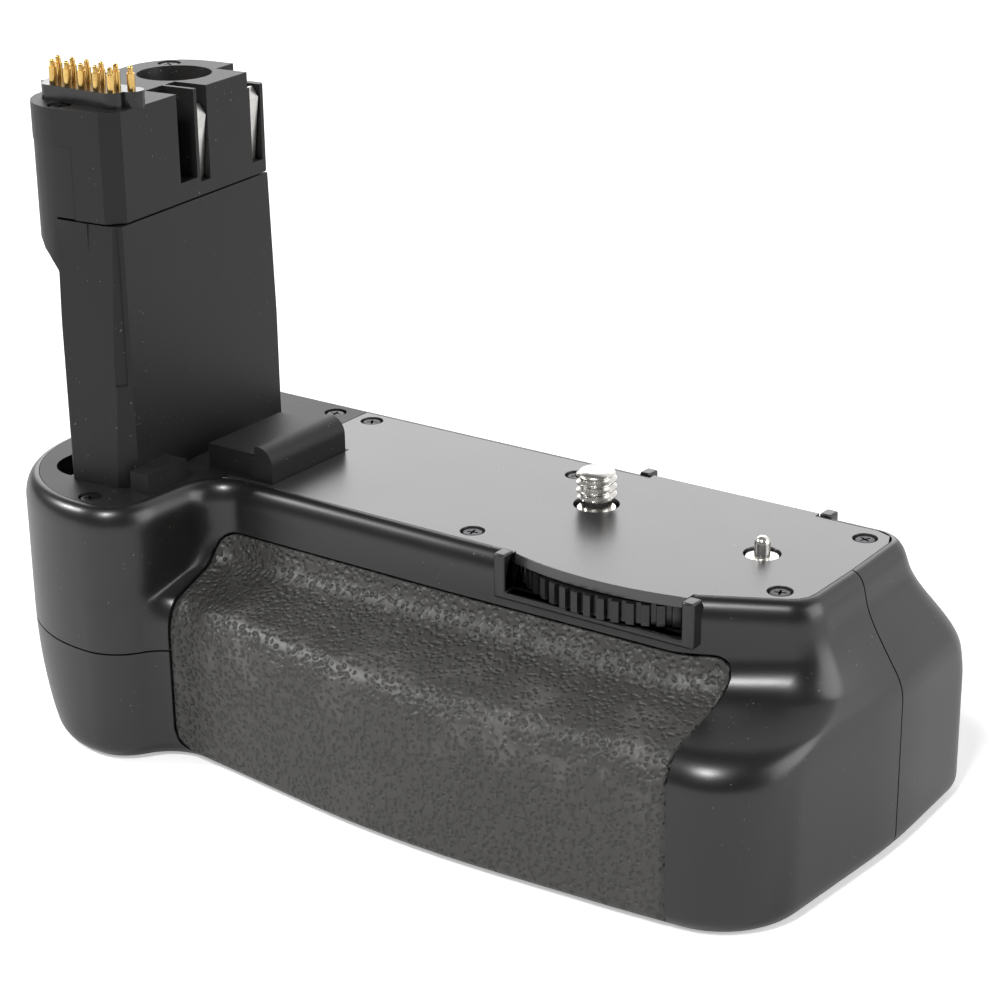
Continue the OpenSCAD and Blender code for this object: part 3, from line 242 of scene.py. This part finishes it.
def boxPart(name, low, high):
    deselect()
    middle = [(a + b) / 2 * mm for a, b in zip(low, high)]
    bpy.ops.mesh.primitive_cube_add(size=1, location=middle)
    part = bpy.context.object
    part.name = name
    part.scale = [(b - a) * mm for a, b in zip(low, high)]
    bpy.ops.object.transform_apply(location=True, rotation=True, scale=True)
    return part


def rodPart(name, base, axis, radius, length, sides=64):
    deselect()
    axis = Vector(axis).normalized()
    middle = (Vector(base) + axis * length / 2) * mm
    turn = axis.to_track_quat("Z", "Y").to_euler()
    bpy.ops.mesh.primitive_cylinder_add(vertices=sides, radius=radius * mm, depth=length * mm,
                                        location=middle, rotation=turn)
    part = bpy.context.object
    part.name = name
    bpy.ops.object.transform_apply(location=True, rotation=True, scale=True)
    return part


def carve(part, tool, operation="DIFFERENCE", keepTool=False):
    activate(part)
    cut = part.modifiers.new("cut", "BOOLEAN")
    cut.object, cut.operation, cut.solver = tool, operation, "MANIFOLD"
    bpy.ops.object.modifier_apply(modifier="cut")
    if not keepTool:
        bpy.data.objects.remove(tool)


def soften(part, width, segments=2, angle=32):
    activate(part)
    edge = part.modifiers.new("edge", "BEVEL")
    edge.width, edge.segments, edge.limit_method = width * mm, segments, "ANGLE"
    edge.angle_limit = math.radians(angle)
    edge.harden_normals = False
    bpy.ops.object.modifier_apply(modifier="edge")


def smooth(part, angle=35, even=False):
    activate(part)
    bpy.ops.object.shade_smooth_by_angle(angle=math.radians(angle))
    if even:
        level = part.modifiers.new("level", "WEIGHTED_NORMAL")
        level.keep_sharp, level.weight = True, 80
        bpy.ops.object.modifier_apply(modifier="level")


def fit(part, body, slot, *nodes):
    part.data.materials.clear()
    part.data.materials.append(finishes[slot])
    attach(part, body)
    if nodes:
        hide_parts(*nodes)
    return part


def nodeCopy(node, name):
    part = bpy.data.objects.new(name, frame["nodes"][node].data.copy())
    bpy.context.scene.collection.objects.link(part)
    activate(part)
    bpy.ops.object.mode_set(mode="EDIT")
    bpy.ops.mesh.select_all(action="SELECT")
    bpy.ops.mesh.customdata_custom_splitnormals_clear()
    bpy.ops.mesh.remove_doubles(threshold=2e-6)
    bpy.ops.mesh.dissolve_limited(angle_limit=math.radians(0.6))
    bpy.ops.object.mode_set(mode="OBJECT")
    return part


# housing form: the plan outline changes with height
gripForm = dict(left=-72.35, right=73.55, lobeFront=-36, rear=35.3, neckFront=-14.9, neckRear=26.2,
                neckRight=65.25, plateZ=43, wall=2.2, rimR=2.3, rimH=4, footR=3, flareTop=35.4, flareR=6,
                slope=14, flareDepth=18, flareHeight=24, tuckTop=21.4, tuckHeight=22, tuckX=18,
                lobeRight=-38.95, lobeR=24, seamY=8.2, seamZ=18.8, plateT=1.7, ledge=1.2, roofDrop=2.2,
                endTop=40.6, endHeight=16)
g = SimpleNamespace(**gripForm)
slopeRad = math.radians(g.slope)
bendY = g.flareR * (1 - math.sin(slopeRad))
bendZ = g.flareR * math.cos(slopeRad)
shelfTop = g.flareTop - bendZ
shelfLow = shelfTop - (g.flareDepth - 2 * bendY) * math.tan(slopeRad)
flareLow = shelfLow - bendZ


def mix(a, b, t):
    return a + (b - a) * t


def bendAt(h):
    return g.flareR * (1 - math.cos(math.asin(min(1, h / g.flareR))))


def flareAt(z):
    if z >= g.flareTop:
        return 0
    if z > shelfTop:
        return bendAt(g.flareTop - z) / g.flareDepth
    if z > shelfLow:
        return (bendY + (shelfTop - z) / math.tan(slopeRad)) / g.flareDepth
    if z > flareLow:
        return 1 - bendAt(z - flareLow) / g.flareDepth
    return 1


def easeAt(z):
    return (1 - math.cos(math.pi * min(1, max(0, (g.plateZ - z) / g.flareHeight)))) / 2


def endAt(z):
    return (1 - math.cos(math.pi * min(1, max(0, (g.endTop - z) / g.endHeight)))) / 2


def tuckAt(z):
    return 0 if z >= g.tuckTop else g.tuckX * (1 - math.sqrt(1 - ((g.tuckTop - z) / g.tuckHeight) ** 2))


def rearAt(z):
    return mix(g.neckRear, g.rear, easeAt(z))


def cornersAt(z):
    f, e, k = flareAt(z), endAt(z), tuckAt(z)
    # x, y and rounding, from the rear right past the left end to the front and the right end
    return [
        (mix(g.neckRight, g.right - 1.9, e), rearAt(z), mix(6, 7.5, e)),
        (g.left + k, rearAt(z), 14),
        # the lobe, and the hollow where it meets the front
        (g.left + k, g.lobeFront, g.lobeR - k),
        (mix(g.lobeRight, g.lobeRight - 3.4, f), g.lobeFront, 9),
        (mix(g.lobeRight + 1.4, g.lobeRight + 2.1, f), mix(g.neckFront, g.lobeFront + 8.7, f),
         mix(5.5, 8, f)),
        # the bowed front and the nose
        (8.7, mix(g.neckFront - 0.4, g.lobeFront + 3, f), 200),
        (mix(48.2, 46.7, f), mix(g.neckFront, g.lobeFront + 5.4, f), mix(9, 40, f)),
        (mix(g.neckRight, g.right - 4.6, e), mix(g.neckFront + 8.6, g.lobeFront + 7.4, f),
         mix(6.5, 14, f) + 24 * f * (1 - f)),
        # the bow of the right end
        (mix(g.neckRight + 0.3, g.right - 1.05, e), g.seamY, 120)]


arcSteps = [12, 14, 24, 14, 14, 8, 10, 20, 8]
sideSteps = [30, 14, 6, 5, 12, 10, 7, 6, 5]   # steps on the straight that follows each corner
ringSize = sum(arcSteps) + len(arcSteps) + sum(sideSteps)


def outlineAt(z, inset=0):
    raw = [np.array(c[:2]) for c in cornersAt(z)]
    radii = [c[2] for c in cornersAt(z)]
    n = len(raw)
    unit = [(raw[(i + 1) % n] - raw[i]) / np.linalg.norm(raw[(i + 1) % n] - raw[i]) for i in range(n)]
    arcs = []
    for i in range(n):
        a, b = unit[i - 1], unit[i]
        na, nb = np.array([-a[1], a[0]]), np.array([-b[1], b[0]])
        turn = math.atan2(a[0] * b[1] - a[1] * b[0], a @ b)
        q = raw[i] + inset * (na + nb) / (1 + na @ nb)
        r = max(0.3, radii[i] - inset * np.sign(turn))
        s = q - a * r * math.tan(abs(turn) / 2)
        m = s + na * np.sign(turn) * r
        arc = []
        for j in range(arcSteps[i] + 1):
            t = turn * j / arcSteps[i]
            v = s - m
            arc.append(m + [v[0] * math.cos(t) - v[1] * math.sin(t), v[0] * math.sin(t) + v[1] * math.cos(t)])
        arcs.append(arc)
    points = []
    for i in range(n):
        points += arcs[i]
        p, q = arcs[i][-1], arcs[(i + 1) % n][0]
        points += [p + (q - p) * j / (sideSteps[i] + 1) for j in range(1, sideSteps[i] + 1)]
    return np.array(points)


def loftPart(name, levels):
    rings = [np.column_stack([outlineAt(z, d), np.full(ringSize, h)]) for z, d, h in levels]
    n, m = len(rings[0]), len(rings)
    points = np.vstack(rings)
    faces = [(j * n + i, j * n + (i + 1) % n, (j + 1) * n + (i + 1) % n, (j + 1) * n + i)
             for j in range(m - 1) for i in range(n)]
    faces += [tuple(range(n - 1, -1, -1)), tuple((m - 1) * n + i for i in range(n))]
    return meshPart(name, points, faces)


def spread(a, b, n):
    return [mix(a, b, i / n) for i in range(n + 1)]


def outerLevels(shrink=0):
    foot = [(g.footR * (1 - math.sin(a)), g.footR * (1 - math.cos(a))) for a in np.radians(spread(90, 0, 9))]
    wall = [(z, 0) for z in spread(g.footR, flareLow, 14)[1:]]
    sweep = math.radians(90 - g.slope)
    nose = [(flareLow + g.flareR * math.sin(a), 0) for a in spread(0, sweep, 12)[1:]]
    shelf = [(z, 0) for z in spread(shelfLow, shelfTop, 4)[1:]]
    bend = [(g.flareTop - g.flareR * math.sin(a), 0) for a in spread(sweep, 0, 12)[1:]]
    neck = [(z, 0) for z in spread(g.flareTop, g.plateZ - g.rimH, 5)[1:]]
    rim = [(g.plateZ - g.rimH * (1 - math.sin(a)), g.rimR * (1 - math.cos(a)))
           for a in np.radians(spread(0, 90, 12))[1:]]
    return [(z, d + shrink, z) for z, d in foot + wall + nose + shelf + bend + neck + rim]


def innerLevels():
    sweep = math.radians(90 - g.slope)
    low = [(z, g.wall, z) for z in spread(g.wall, flareLow - g.roofDrop, 6)]
    nose = [(flareLow + g.flareR * math.sin(a), g.wall) for a in spread(0, sweep, 6)[1:]]
    bend = [(g.flareTop - g.flareR * math.sin(a), g.wall) for a in spread(sweep, 0, 6)]
    top = [(0, 4.3), (g.ledge, 3), (g.ledge, g.plateT), (0.1, g.plateT), (0.1, -1)]
    return (low + [(z, d, z - g.roofDrop) for z, d in nose + bend]
            + [(g.plateZ, g.wall + d, g.plateZ - h) for d, h in top])


# front rubber: a skin sunk into the front face
rubberForm = dict(left=-36.3, right=55.5, low=1.3, top=34.9, cornerR=3, lowR=4, thick=1.2, seat=0.14,
                  edgeR=0.6, edgeDip=0.35, columns=150, proud=-1.2)
frontFrom = sum(arcSteps[:4]) + 4 + sum(sideSteps[:4])
frontTo = sum(arcSteps[:8]) + 8 + sum(sideSteps[:7])


def frontAt(z, inset):
    line = outlineAt(z, inset)[frontFrom:frontTo]
    order = np.argsort(line[:, 0])
    return line[order]


def rubberSkin(name, near, deep, grow, dip):
    r = rubberForm
    n = r["columns"]
    xs = np.array([mix(r["left"] - grow, r["right"] + grow, i / n) for i in range(n + 1)])
    edge = np.minimum(xs - xs[0], xs[-1] - xs)
    gone = np.where(edge < r["cornerR"], r["cornerR"] - np.sqrt(np.maximum(0, r["cornerR"] ** 2
                    - (r["cornerR"] - edge) ** 2)), 0)
    tops = r["top"] + grow - gone
    low = r["low"] - grow
    near0 = np.minimum(xs - xs[0], r["lowR"])
    lows = low + r["lowR"] - np.sqrt(np.maximum(0, r["lowR"] ** 2 - (r["lowR"] - near0) ** 2))
    zs = [flareLow + g.flareR * math.sin(a) for a in spread(0, math.radians(90 - g.slope), 22)]
    zs = spread(low, flareLow, 36)[:-1] + zs + spread(shelfLow, r["top"], 24)[1:]
    zs = (np.array(zs) - low) / (r["top"] - low)
    sheets = []
    table = {}
    for inset in (near, deep):
        sheet = np.zeros((len(zs), n + 1, 3))
        for j, t in enumerate(zs):
            for i, x in enumerate(xs):
                z = lows[i] + (tops[i] - lows[i]) * t
                key = (inset, round(z, 2))
                if key not in table:
                    table[key] = frontAt(z, inset)
                line = table[key]
                y = np.interp(x, line[:, 0], line[:, 1])
                fall = inset * min(1, max(0, (z - r["low"]) / (flareLow - r["low"])))
                sheet[j, i] = (x, y, z - fall)
        sheets.append(sheet)
    if dip:
        zz, xx = sheets[0][:, :, 2], sheets[0][:, :, 0]
        sides = np.minimum(xx - xs[0], xs[-1] - xx)
        rim = np.minimum(sides, np.minimum(zz - lows[None, :], tops[None, :] - zz))
        lost = np.clip(1 - rim / r["edgeR"], 0, 1) ** 2 * r["edgeDip"] / r["thick"]
        sheets[0] += (sheets[1] - sheets[0]) * lost[:, :, None]
    k, c = len(zs), n + 1
    points = np.vstack([s.reshape(-1, 3) for s in sheets])
    faces = []
    for j in range(k - 1):
        for i in range(n):
            a, b, d, e = j * c + i, j * c + i + 1, (j + 1) * c + i + 1, (j + 1) * c + i
            faces += [(a, b, d, e), tuple(k * c + q for q in (e, d, b, a))]
    border = list(range(c)) + [j * c + n for j in range(1, k)]
    border += [(k - 1) * c + i for i in range(n - 1, -1, -1)] + [j * c for j in range(k - 2, 0, -1)]
    for p, q in zip(border, border[1:] + border[:1]):
        faces.append((q, p, k * c + p, k * c + q))
    return meshPart(name, points, faces)


# how far the cutting boxes reach, well outside the part
reach = SimpleNamespace(x=90, front=-60, lobeFront=-50, rear=60, low=-5, high=60)


def makeHousings():
    seam = dict(wide=0.28, deep=0.4, cornerX=-34.8)
    outer = loftPart("outerForm", outerLevels())
    inner = loftPart("innerForm", innerLevels())
    shy = loftPart("shyForm", outerLevels(seam["deep"]))
    r = rubberForm
    recess = rubberSkin("rubberRecess", r["proud"], r["thick"] + r["seat"], r["seat"], False)
    half = seam["wide"] / 2
    grooves = boxPart("grooves", (-reach.x, g.seamY - half, reach.low), (reach.x, g.seamY + half, reach.high))
    carve(grooves, boxPart("level", (-reach.x, reach.lobeFront, g.seamZ - half),
                           (seam["cornerX"], g.seamY, g.seamZ + half)), "UNION")
    carve(grooves, shy)
    corner = ((-reach.x, reach.lobeFront, reach.low), (seam["cornerX"], g.seamY, g.seamZ))
    frontHalf = ((-reach.x, reach.front, reach.low), (reach.x, g.seamY, reach.high))
    rearHalf = ((-reach.x, g.seamY, reach.low), (reach.x, reach.rear, reach.high))
    walls = {}
    for name in ("frontHousing", "rearHousing", "cornerHousing"):
        part = bpy.data.objects.new(name, outer.data.copy())
        bpy.context.scene.collection.objects.link(part)
        if name == "rearHousing":
            carve(part, boxPart("half", *frontHalf))
        elif name == "frontHousing":
            carve(part, boxPart("half", *rearHalf))
            carve(part, boxPart("corner", *corner))
        else:
            carve(part, boxPart("corner", *corner), "INTERSECT")
        carve(part, inner, keepTool=True)
        carve(part, grooves, keepTool=True)
        if name != "rearHousing":
            carve(part, recess, keepTool=True)
        walls[name] = part
    for tool in (outer, inner, grooves, recess):
        bpy.data.objects.remove(tool)
    return walls


# openings of the thumb wheel, front and rear
wheel = dict(x=34.08, y=6.15, r=22.9, room=0.4, roomHigh=3.9, windowWide=30.1, sill=37.4, frameWide=2,
             frameProud=0.8, frameSill=1.1, frameDeep=1.7)


def windowTool(front):
    half = wheel["windowWide"] / 2
    ys = (g.neckFront - 2, g.neckFront + 4) if front else (g.neckRear - 4, g.neckRear + 2)
    return boxPart("window", (wheel["x"] - half, ys[0], wheel["sill"]),
                   (wheel["x"] + half, ys[1], reach.high))


def windowFrame(front):
    half = wheel["windowWide"] / 2 + wheel["frameWide"]
    out = wheel["frameProud"]
    deep = wheel["frameDeep"]
    ys = (g.neckFront - out, g.neckFront + deep) if front else (g.neckRear - deep, g.neckRear + out)
    name = "frontWindowFrame" if front else "rearWindowFrame"
    part = boxPart(name, (wheel["x"] - half, ys[0], wheel["sill"] - wheel["frameSill"]),
                   (wheel["x"] + half, ys[1], g.plateZ + 0.3))
    carve(part, windowTool(front))
    soften(part, 0.35, 3)
    smooth(part, 40, True)
    return fit(part, "grip_body", "housing")


rearForm = dict(door=((-30.3, 27, 2.2), (56.7, 50, 27.7)), lugs=(-34.6, 57), lugY=32.8, lugR=2, lugLong=4,
                pin=(-33.8, 33.4, 4.6), pinR=0.95, pinLong=94, latch=((-40.1, 31, 13.2), (-31.5, 40, 16.8)),
                buttons=((-54.15, 15, 3.1), (-46.15, 15, 3.1), (-50.15, 6.8, 1.55)),
                buttonY=29, buttonDeep=10, thumbX=(-57.45, -33.2), thumbZ=(20.9, 33.6), thumbDeep=1.1)
leftForm = dict(shutterOut=(-0.8472, 0, -0.5313), shutterY=-15.5, shutterZ=8, shutterR=4.5, shutterLong=14,
                dial=(-63.15, -6.3, 13), dialR=9.4, dialWide=6.6)
footForm = dict(socket=(18.5, 9.8, -1), socketR=5.1, socketDeep=4)


def finishHousings():
    walls = makeHousings()
    print("housings lofted")
    front, rear, corner = walls["frontHousing"], walls["rearHousing"], walls["cornerHousing"]
    carve(front, windowTool(True))
    carve(rear, windowTool(False))
    for part in (front, rear):
        base = (wheel["x"], wheel["y"], wheel["sill"])
        carve(part, rodPart("room", base, (0, 0, 1), wheel["r"] + wheel["room"], wheel["roomHigh"], 128))
        s = footForm
        carve(part, rodPart("socketRoom", s["socket"], (0, 0, 1), s["socketR"], s["socketDeep"]))
    # rear face: door, lugs, thumb rest, latch slot and button holes
    b = rearForm
    carve(rear, boxPart("doorWay", *b["door"]))
    for x in b["lugs"]:
        carve(rear, rodPart("lug", (x, b["lugY"], b["pin"][2]), (1, 0, 0), b["lugR"], b["lugLong"]), "UNION")
    carve(rear, rodPart("pinWay", b["pin"], (1, 0, 0), b["pinR"], b["pinLong"]))
    carve(rear, boxPart("latchSlot", *b["latch"]))
    for x, z, r in b["buttons"]:
        carve(rear, rodPart("buttonWay", (x, b["buttonY"], z), (0, 1, 0), r, b["buttonDeep"]))
    zs = spread(*b["thumbZ"], 24)
    strip = [(rearAt(z) - b["thumbDeep"], z) for z in zs] + [(rearAt(z) + 3, z) for z in reversed(zs)]
    n = len(strip)
    thumb = meshPart("thumbRoom", [(x, y, z) for x in b["thumbX"] for y, z in strip],
                     [tuple(range(n)), tuple(range(2 * n - 1, n - 1, -1))]
                     + [(i, i + n, (i + 1) % n + n, (i + 1) % n) for i in range(n)])
    activate(thumb)
    bpy.ops.object.mode_set(mode="EDIT")
    bpy.ops.mesh.select_all(action="SELECT")
    bpy.ops.mesh.normals_make_consistent(inside=False)
    bpy.ops.object.mode_set(mode="OBJECT")
    carve(rear, thumb)
    # left end: holes of the shutter button and the dial
    e = leftForm
    out = Vector(e["shutterOut"])
    centre = Vector((g.left + tuckAt(e["shutterZ"]), e["shutterY"], e["shutterZ"]))
    start = centre - out * (e["shutterLong"] / 2)
    carve(corner, rodPart("shutterWay", start, out, e["shutterR"], e["shutterLong"]))
    carve(corner, rodPart("dialWay", e["dial"], (0, 1, 0), e["dialR"], e["dialWide"], 96))
    for part, node in ((front, "front_shell"), (rear, "rear_shell"), (corner, "shutter_housing")):
        smooth(part, 28)
        fit(part, "grip_body", "housing", node)
    windowFrame(True)
    windowFrame(False)
    skin = rubberSkin("gripRubber", 0, rubberForm["thick"], 0, True)
    smooth(skin, 50)
    fit(skin, "grip_body", "rubber", "front_rubber")


finishHousings()
print("housings and rubber done")


# the cap at the foot of the tower is trimmed to the lobe's rim, and its pocket keeps a land beside the rim
towerPlace = dict(x=-45.3, y=-24.6, turn=5.6)
capForm = dict(gap=0.1, right=-12.6, rear=29, floor=25, solidPocket=(-19.4, -2.5, 5.5),
               shownPocket=(-18.6, -0.2, 5.9), barGap=((-47, -12), (-42.2, 8)))
headSeam = ((-57, -40, 84.9), (-30, 40, 85.3))


def inTower(w, u):
    t = towerPlace
    a = math.radians(t["turn"])
    return (t["x"] + w * math.cos(a) - u * math.sin(a), t["y"] + w * math.sin(a) + u * math.cos(a))


def pocketPrism(name, pocket, grow, low, high):
    c = capForm
    left, front, r = pocket[0] - grow, pocket[1] - grow, pocket[2] + grow
    plan = [(c["right"] + grow, front), (c["right"] + grow, c["rear"] + grow), (left, c["rear"] + grow)]
    for a in np.radians(spread(180, 270, 12)):
        plan.append((left + r + r * math.cos(a), front + r + r * math.sin(a)))
    n = len(plan)
    spots = [inTower(w, u) for w, u in plan]
    return meshPart(name, [(x, y, z) for z in (low, high) for x, y in spots],
                    [tuple(range(n - 1, -1, -1)), tuple(range(n, 2 * n))]
                    + [(i, (i + 1) % n, (i + 1) % n + n, i + n) for i in range(n)])


def trimCap(cap):
    c = capForm
    inset = g.rimR + c["gap"]
    rim = boxPart("rim", (-reach.x, reach.front, g.plateZ - g.plateT - 0.05),
                  (g.lobeRight - 6, reach.rear, g.plateZ + 0.05))
    carve(rim, loftPart("capRoom", [(g.plateZ, inset, g.plateZ - 4), (g.plateZ, inset, g.plateZ + 4)]))
    carve(cap, rim)
    land = pocketPrism("land", c["solidPocket"], 0.05, c["floor"] - 0.5, g.plateZ)
    carve(land, pocketPrism("pocket", c["shownPocket"], 0, c["floor"], g.plateZ + 4))
    carve(cap, land, "UNION")
    low, high = c["barGap"]
    carve(cap, boxPart("barGap", (*low, g.plateZ + 0.02), (*high, g.plateZ + 6)))


# pieces that keep their solid and only get rounded edges
roundings = dict(top_plate=0.2, tower_base=0.3, tower_column=0.4, tower_head=0.45, connector_block=0.22,
                 pin_barrels=0.08, pin_plungers=0.05, battery_blades=0.08, thumb_wheel=0.14,
                 locating_pin=0.12, battery_door=0.35, door_latch=0.3, shutter_button=0.4, main_dial=0.14,
                 lock_button=0.35, point_button=0.35, power_switch=0.3, thumb_rubber=0.3, tripod_socket=0.2)
for node, width in roundings.items():
    piece = nodeCopy(node, node + "Rounded")
    if node == "tower_base":
        trimCap(piece)
    if node == "tower_column":
        carve(piece, boxPart("headSeam", *headSeam))
    soften(piece, width, 3 if width > 0.15 else 2)
    smooth(piece, 40, True)
    fit(piece, bodyOf[node], slotOf[node], node)
print("edges rounded:", len(roundings))


# attachment screw with its thread
screwForm = dict(x=18.5, y=9.8, low=33.8, collarLow=41.4, collarTop=42.5, threadLow=44.0, tip=48.7, r=3.175,
                 neckR=2.4, pitch=1.27, depth=0.6, crest=1.13, flank=2.5, runIn=1.6, dome=1.0,
                 domeFall=0.55, domePower=2.2, sides=96, step=0.05)


def makeScrew():
    s = screwForm
    heights = np.arange(s["threadLow"], s["tip"] + 1e-6, s["step"])
    turns = np.linspace(0, 2 * math.pi, s["sides"], endpoint=False)
    neck = s["neckR"]
    foot, head = s["collarLow"], s["collarTop"]
    turned = [(s["low"], neck - 0.3), (s["low"] + 0.3, neck), (foot, neck), (foot, s["r"] - 0.12),
              (foot + 0.12, s["r"]), (head - 0.2, s["r"]), (head, s["r"] - 0.2), (head, neck),
              (s["threadLow"] - 0.1, neck)]
    rings = [(z, np.full(s["sides"], r)) for z, r in turned]
    for z in heights:
        phase = ((z - s["threadLow"]) / s["pitch"] - turns / (2 * math.pi)) % 1
        ridge = np.clip(s["crest"] - np.abs(phase - 0.5) * s["flank"], 0, 1)
        r = s["r"] - s["depth"] * (1 - ridge)
        over = max(0, z - (s["tip"] - s["dome"])) / s["dome"]
        cap = s["r"] * math.sqrt(max(0, 1 - s["domeFall"] * over ** s["domePower"]))
        start = neck + 0.05 + max(0, z - s["threadLow"]) * s["runIn"]
        rings.append((z, np.minimum(np.minimum(r, cap), start)))
    points, faces = [], []
    for z, r in rings:
        points += [(s["x"] + q * math.cos(t), s["y"] + q * math.sin(t), z) for q, t in zip(r, turns)]
    n = s["sides"]
    for j in range(len(rings) - 1):
        low, high = j * n, (j + 1) * n
        faces += [(low + i, low + (i + 1) % n, high + (i + 1) % n, high + i) for i in range(n)]
    faces += [tuple(range(n - 1, -1, -1)), tuple((len(rings) - 1) * n + i for i in range(n))]
    part = meshPart("threadedScrew", points, faces)
    smooth(part, 30)
    fit(part, "attachment_screw", "bright_metal", "attachment_screw")


makeScrew()
print("screw threaded")


# cross-head screws
crossForm = dict(headR=1.55, headH=0.9, shankR=1, slotWide=0.38, slotLong=1.75, slotDeep=0.55)


def crossScrews(node, name, spots, top, length, up=1):
    c = crossForm
    made = []
    for x, y, turn in spots:
        part = rodPart(name, (x, y, top - up * c["headH"]), (0, 0, up), c["headR"], c["headH"], 48)
        soften(part, 0.22, 3)
        for k in range(2):
            bar = boxPart("bar", (-c["slotLong"] / 2, -c["slotWide"] / 2, -c["slotDeep"]),
                          (c["slotLong"] / 2, c["slotWide"] / 2, c["slotDeep"]))
            spin = Matrix.Rotation(math.radians(turn + 90 * k), 4, "Z")
            bar.data.transform(Matrix.Translation((x * mm, y * mm, top * mm)) @ spin)
            carve(part, bar)
        base = (x, y, top - up * c["headH"] + up * 0.05)
        carve(part, rodPart("shank", base, (0, 0, -up), c["shankR"], length, 32), "UNION")
        made.append(part)
    deselect()
    for part in made:
        part.select_set(True)
    bpy.context.view_layer.objects.active = made[0]
    bpy.ops.object.join()
    smooth(made[0])
    fit(made[0], "grip_body", "black_screws", node)


crossScrews("plate_screws", "plateScrews", [(9.08, -9.7, 12), (9.08, 18.6, 40), (59.15, 20.1, 65),
            (58.35, -4.1, 20), (-33.75, 20.9, 33)], 42.8, 3.6)
crossScrews("base_screws", "baseScrews", [(-48.8, -31.1, 50), (-41.55, 20.9, 15)], 42.8, 5)
crossScrews("head_screws", "headScrews", [(*inTower(-11.5, 2.4), 25), (*inTower(-15.5, 35.5), 60)], 102, 2.8)
crossScrews("chamber_screws", "chamberScrews", [(-26.2, -14.5, 30), (-26.2, 24, 70), (57.6, -14.5, 10),
            (57.6, 24, 55)], 0.2, 6, -1)
print("screws done")


# floor and light; the floor glows a little for the camera, and more with distance, to end in white
stageForm = dict(wide=6, drop=0.0002, near=0.4, far=1.4, glow=0.45, aim=(0, 0, 0.04))


def makeStage():
    s = stageForm
    deselect()
    bpy.ops.mesh.primitive_plane_add(size=s["wide"], location=(0, 0, -s["drop"]))
    floor = bpy.context.object
    floor.name = "paleFloor"
    f = Finish("paleFloorPaint", Roughness=0.9, Specular_IOR_Level=0.1, Emission_Strength=1.0)
    f.join(Base_Color=f.noise(400, 2).tint((0.93, 0.93, 0.93), (0.95, 0.95, 0.95)))
    far = f.start.node("ShaderNodeVectorMath", {"operation": "LENGTH"}, {0: f.coords}, "Value")
    far = far.between(s["near"], s["far"])
    seen = f.start.node("ShaderNodeLightPath", out="Is Camera Ray")
    f.join(Emission_Color=(seen * (s["glow"] + far * (1 - s["glow"]))).tint((0, 0, 0), (1, 1, 1)))
    floor.data.materials.append(f.material)
    world = bpy.data.worlds.new("studio")
    bpy.context.scene.world = world
    world.use_nodes = True
    tree = world.node_tree
    wire = Wire(tree)
    seen = wire.node("ShaderNodeLightPath", out="Is Camera Ray")
    shone = wire.node("ShaderNodeLightPath", out="Is Glossy Ray")
    toward = wire.node("ShaderNodeTexCoord", out="Generated")
    behind = wire.node("ShaderNodeSeparateXYZ", None, {"Vector": toward}, "Y").between(0.1, 0.6)
    seen = (seen + shone * behind).clamp()
    back = tree.nodes["Background"]
    tree.links.new(seen.tint((0.12, 0.12, 0.12), (1, 1, 1)).socket, back.inputs["Color"])
    lamps = [("backSoftbox", (-0.85, 1.15, 0.72), 1.9, 1.0, 10.5),
             ("leftFrontSoftbox", (-1.25, -0.7, 0.92), 0.24, 0.24, 14),
             ("frontSoftbox", (0.2, -0.95, 1.15), 0.24, 0.24, 13),
             ("rightSoftbox", (1.2, 0.3, 0.5), 0.9, 0.9, 8)]
    for name, place, wide, high, power in lamps:
        data = bpy.data.lights.new(name, "AREA")
        data.shape, data.size, data.size_y, data.energy = "RECTANGLE", wide, high, power
        lamp = bpy.data.objects.new(name, data)
        bpy.context.scene.collection.objects.link(lamp)
        lamp.location = place
        lamp.rotation_euler = (Vector(s["aim"]) - Vector(place)).to_track_quat("-Z", "Y").to_euler()


makeStage()
print("stage lit")
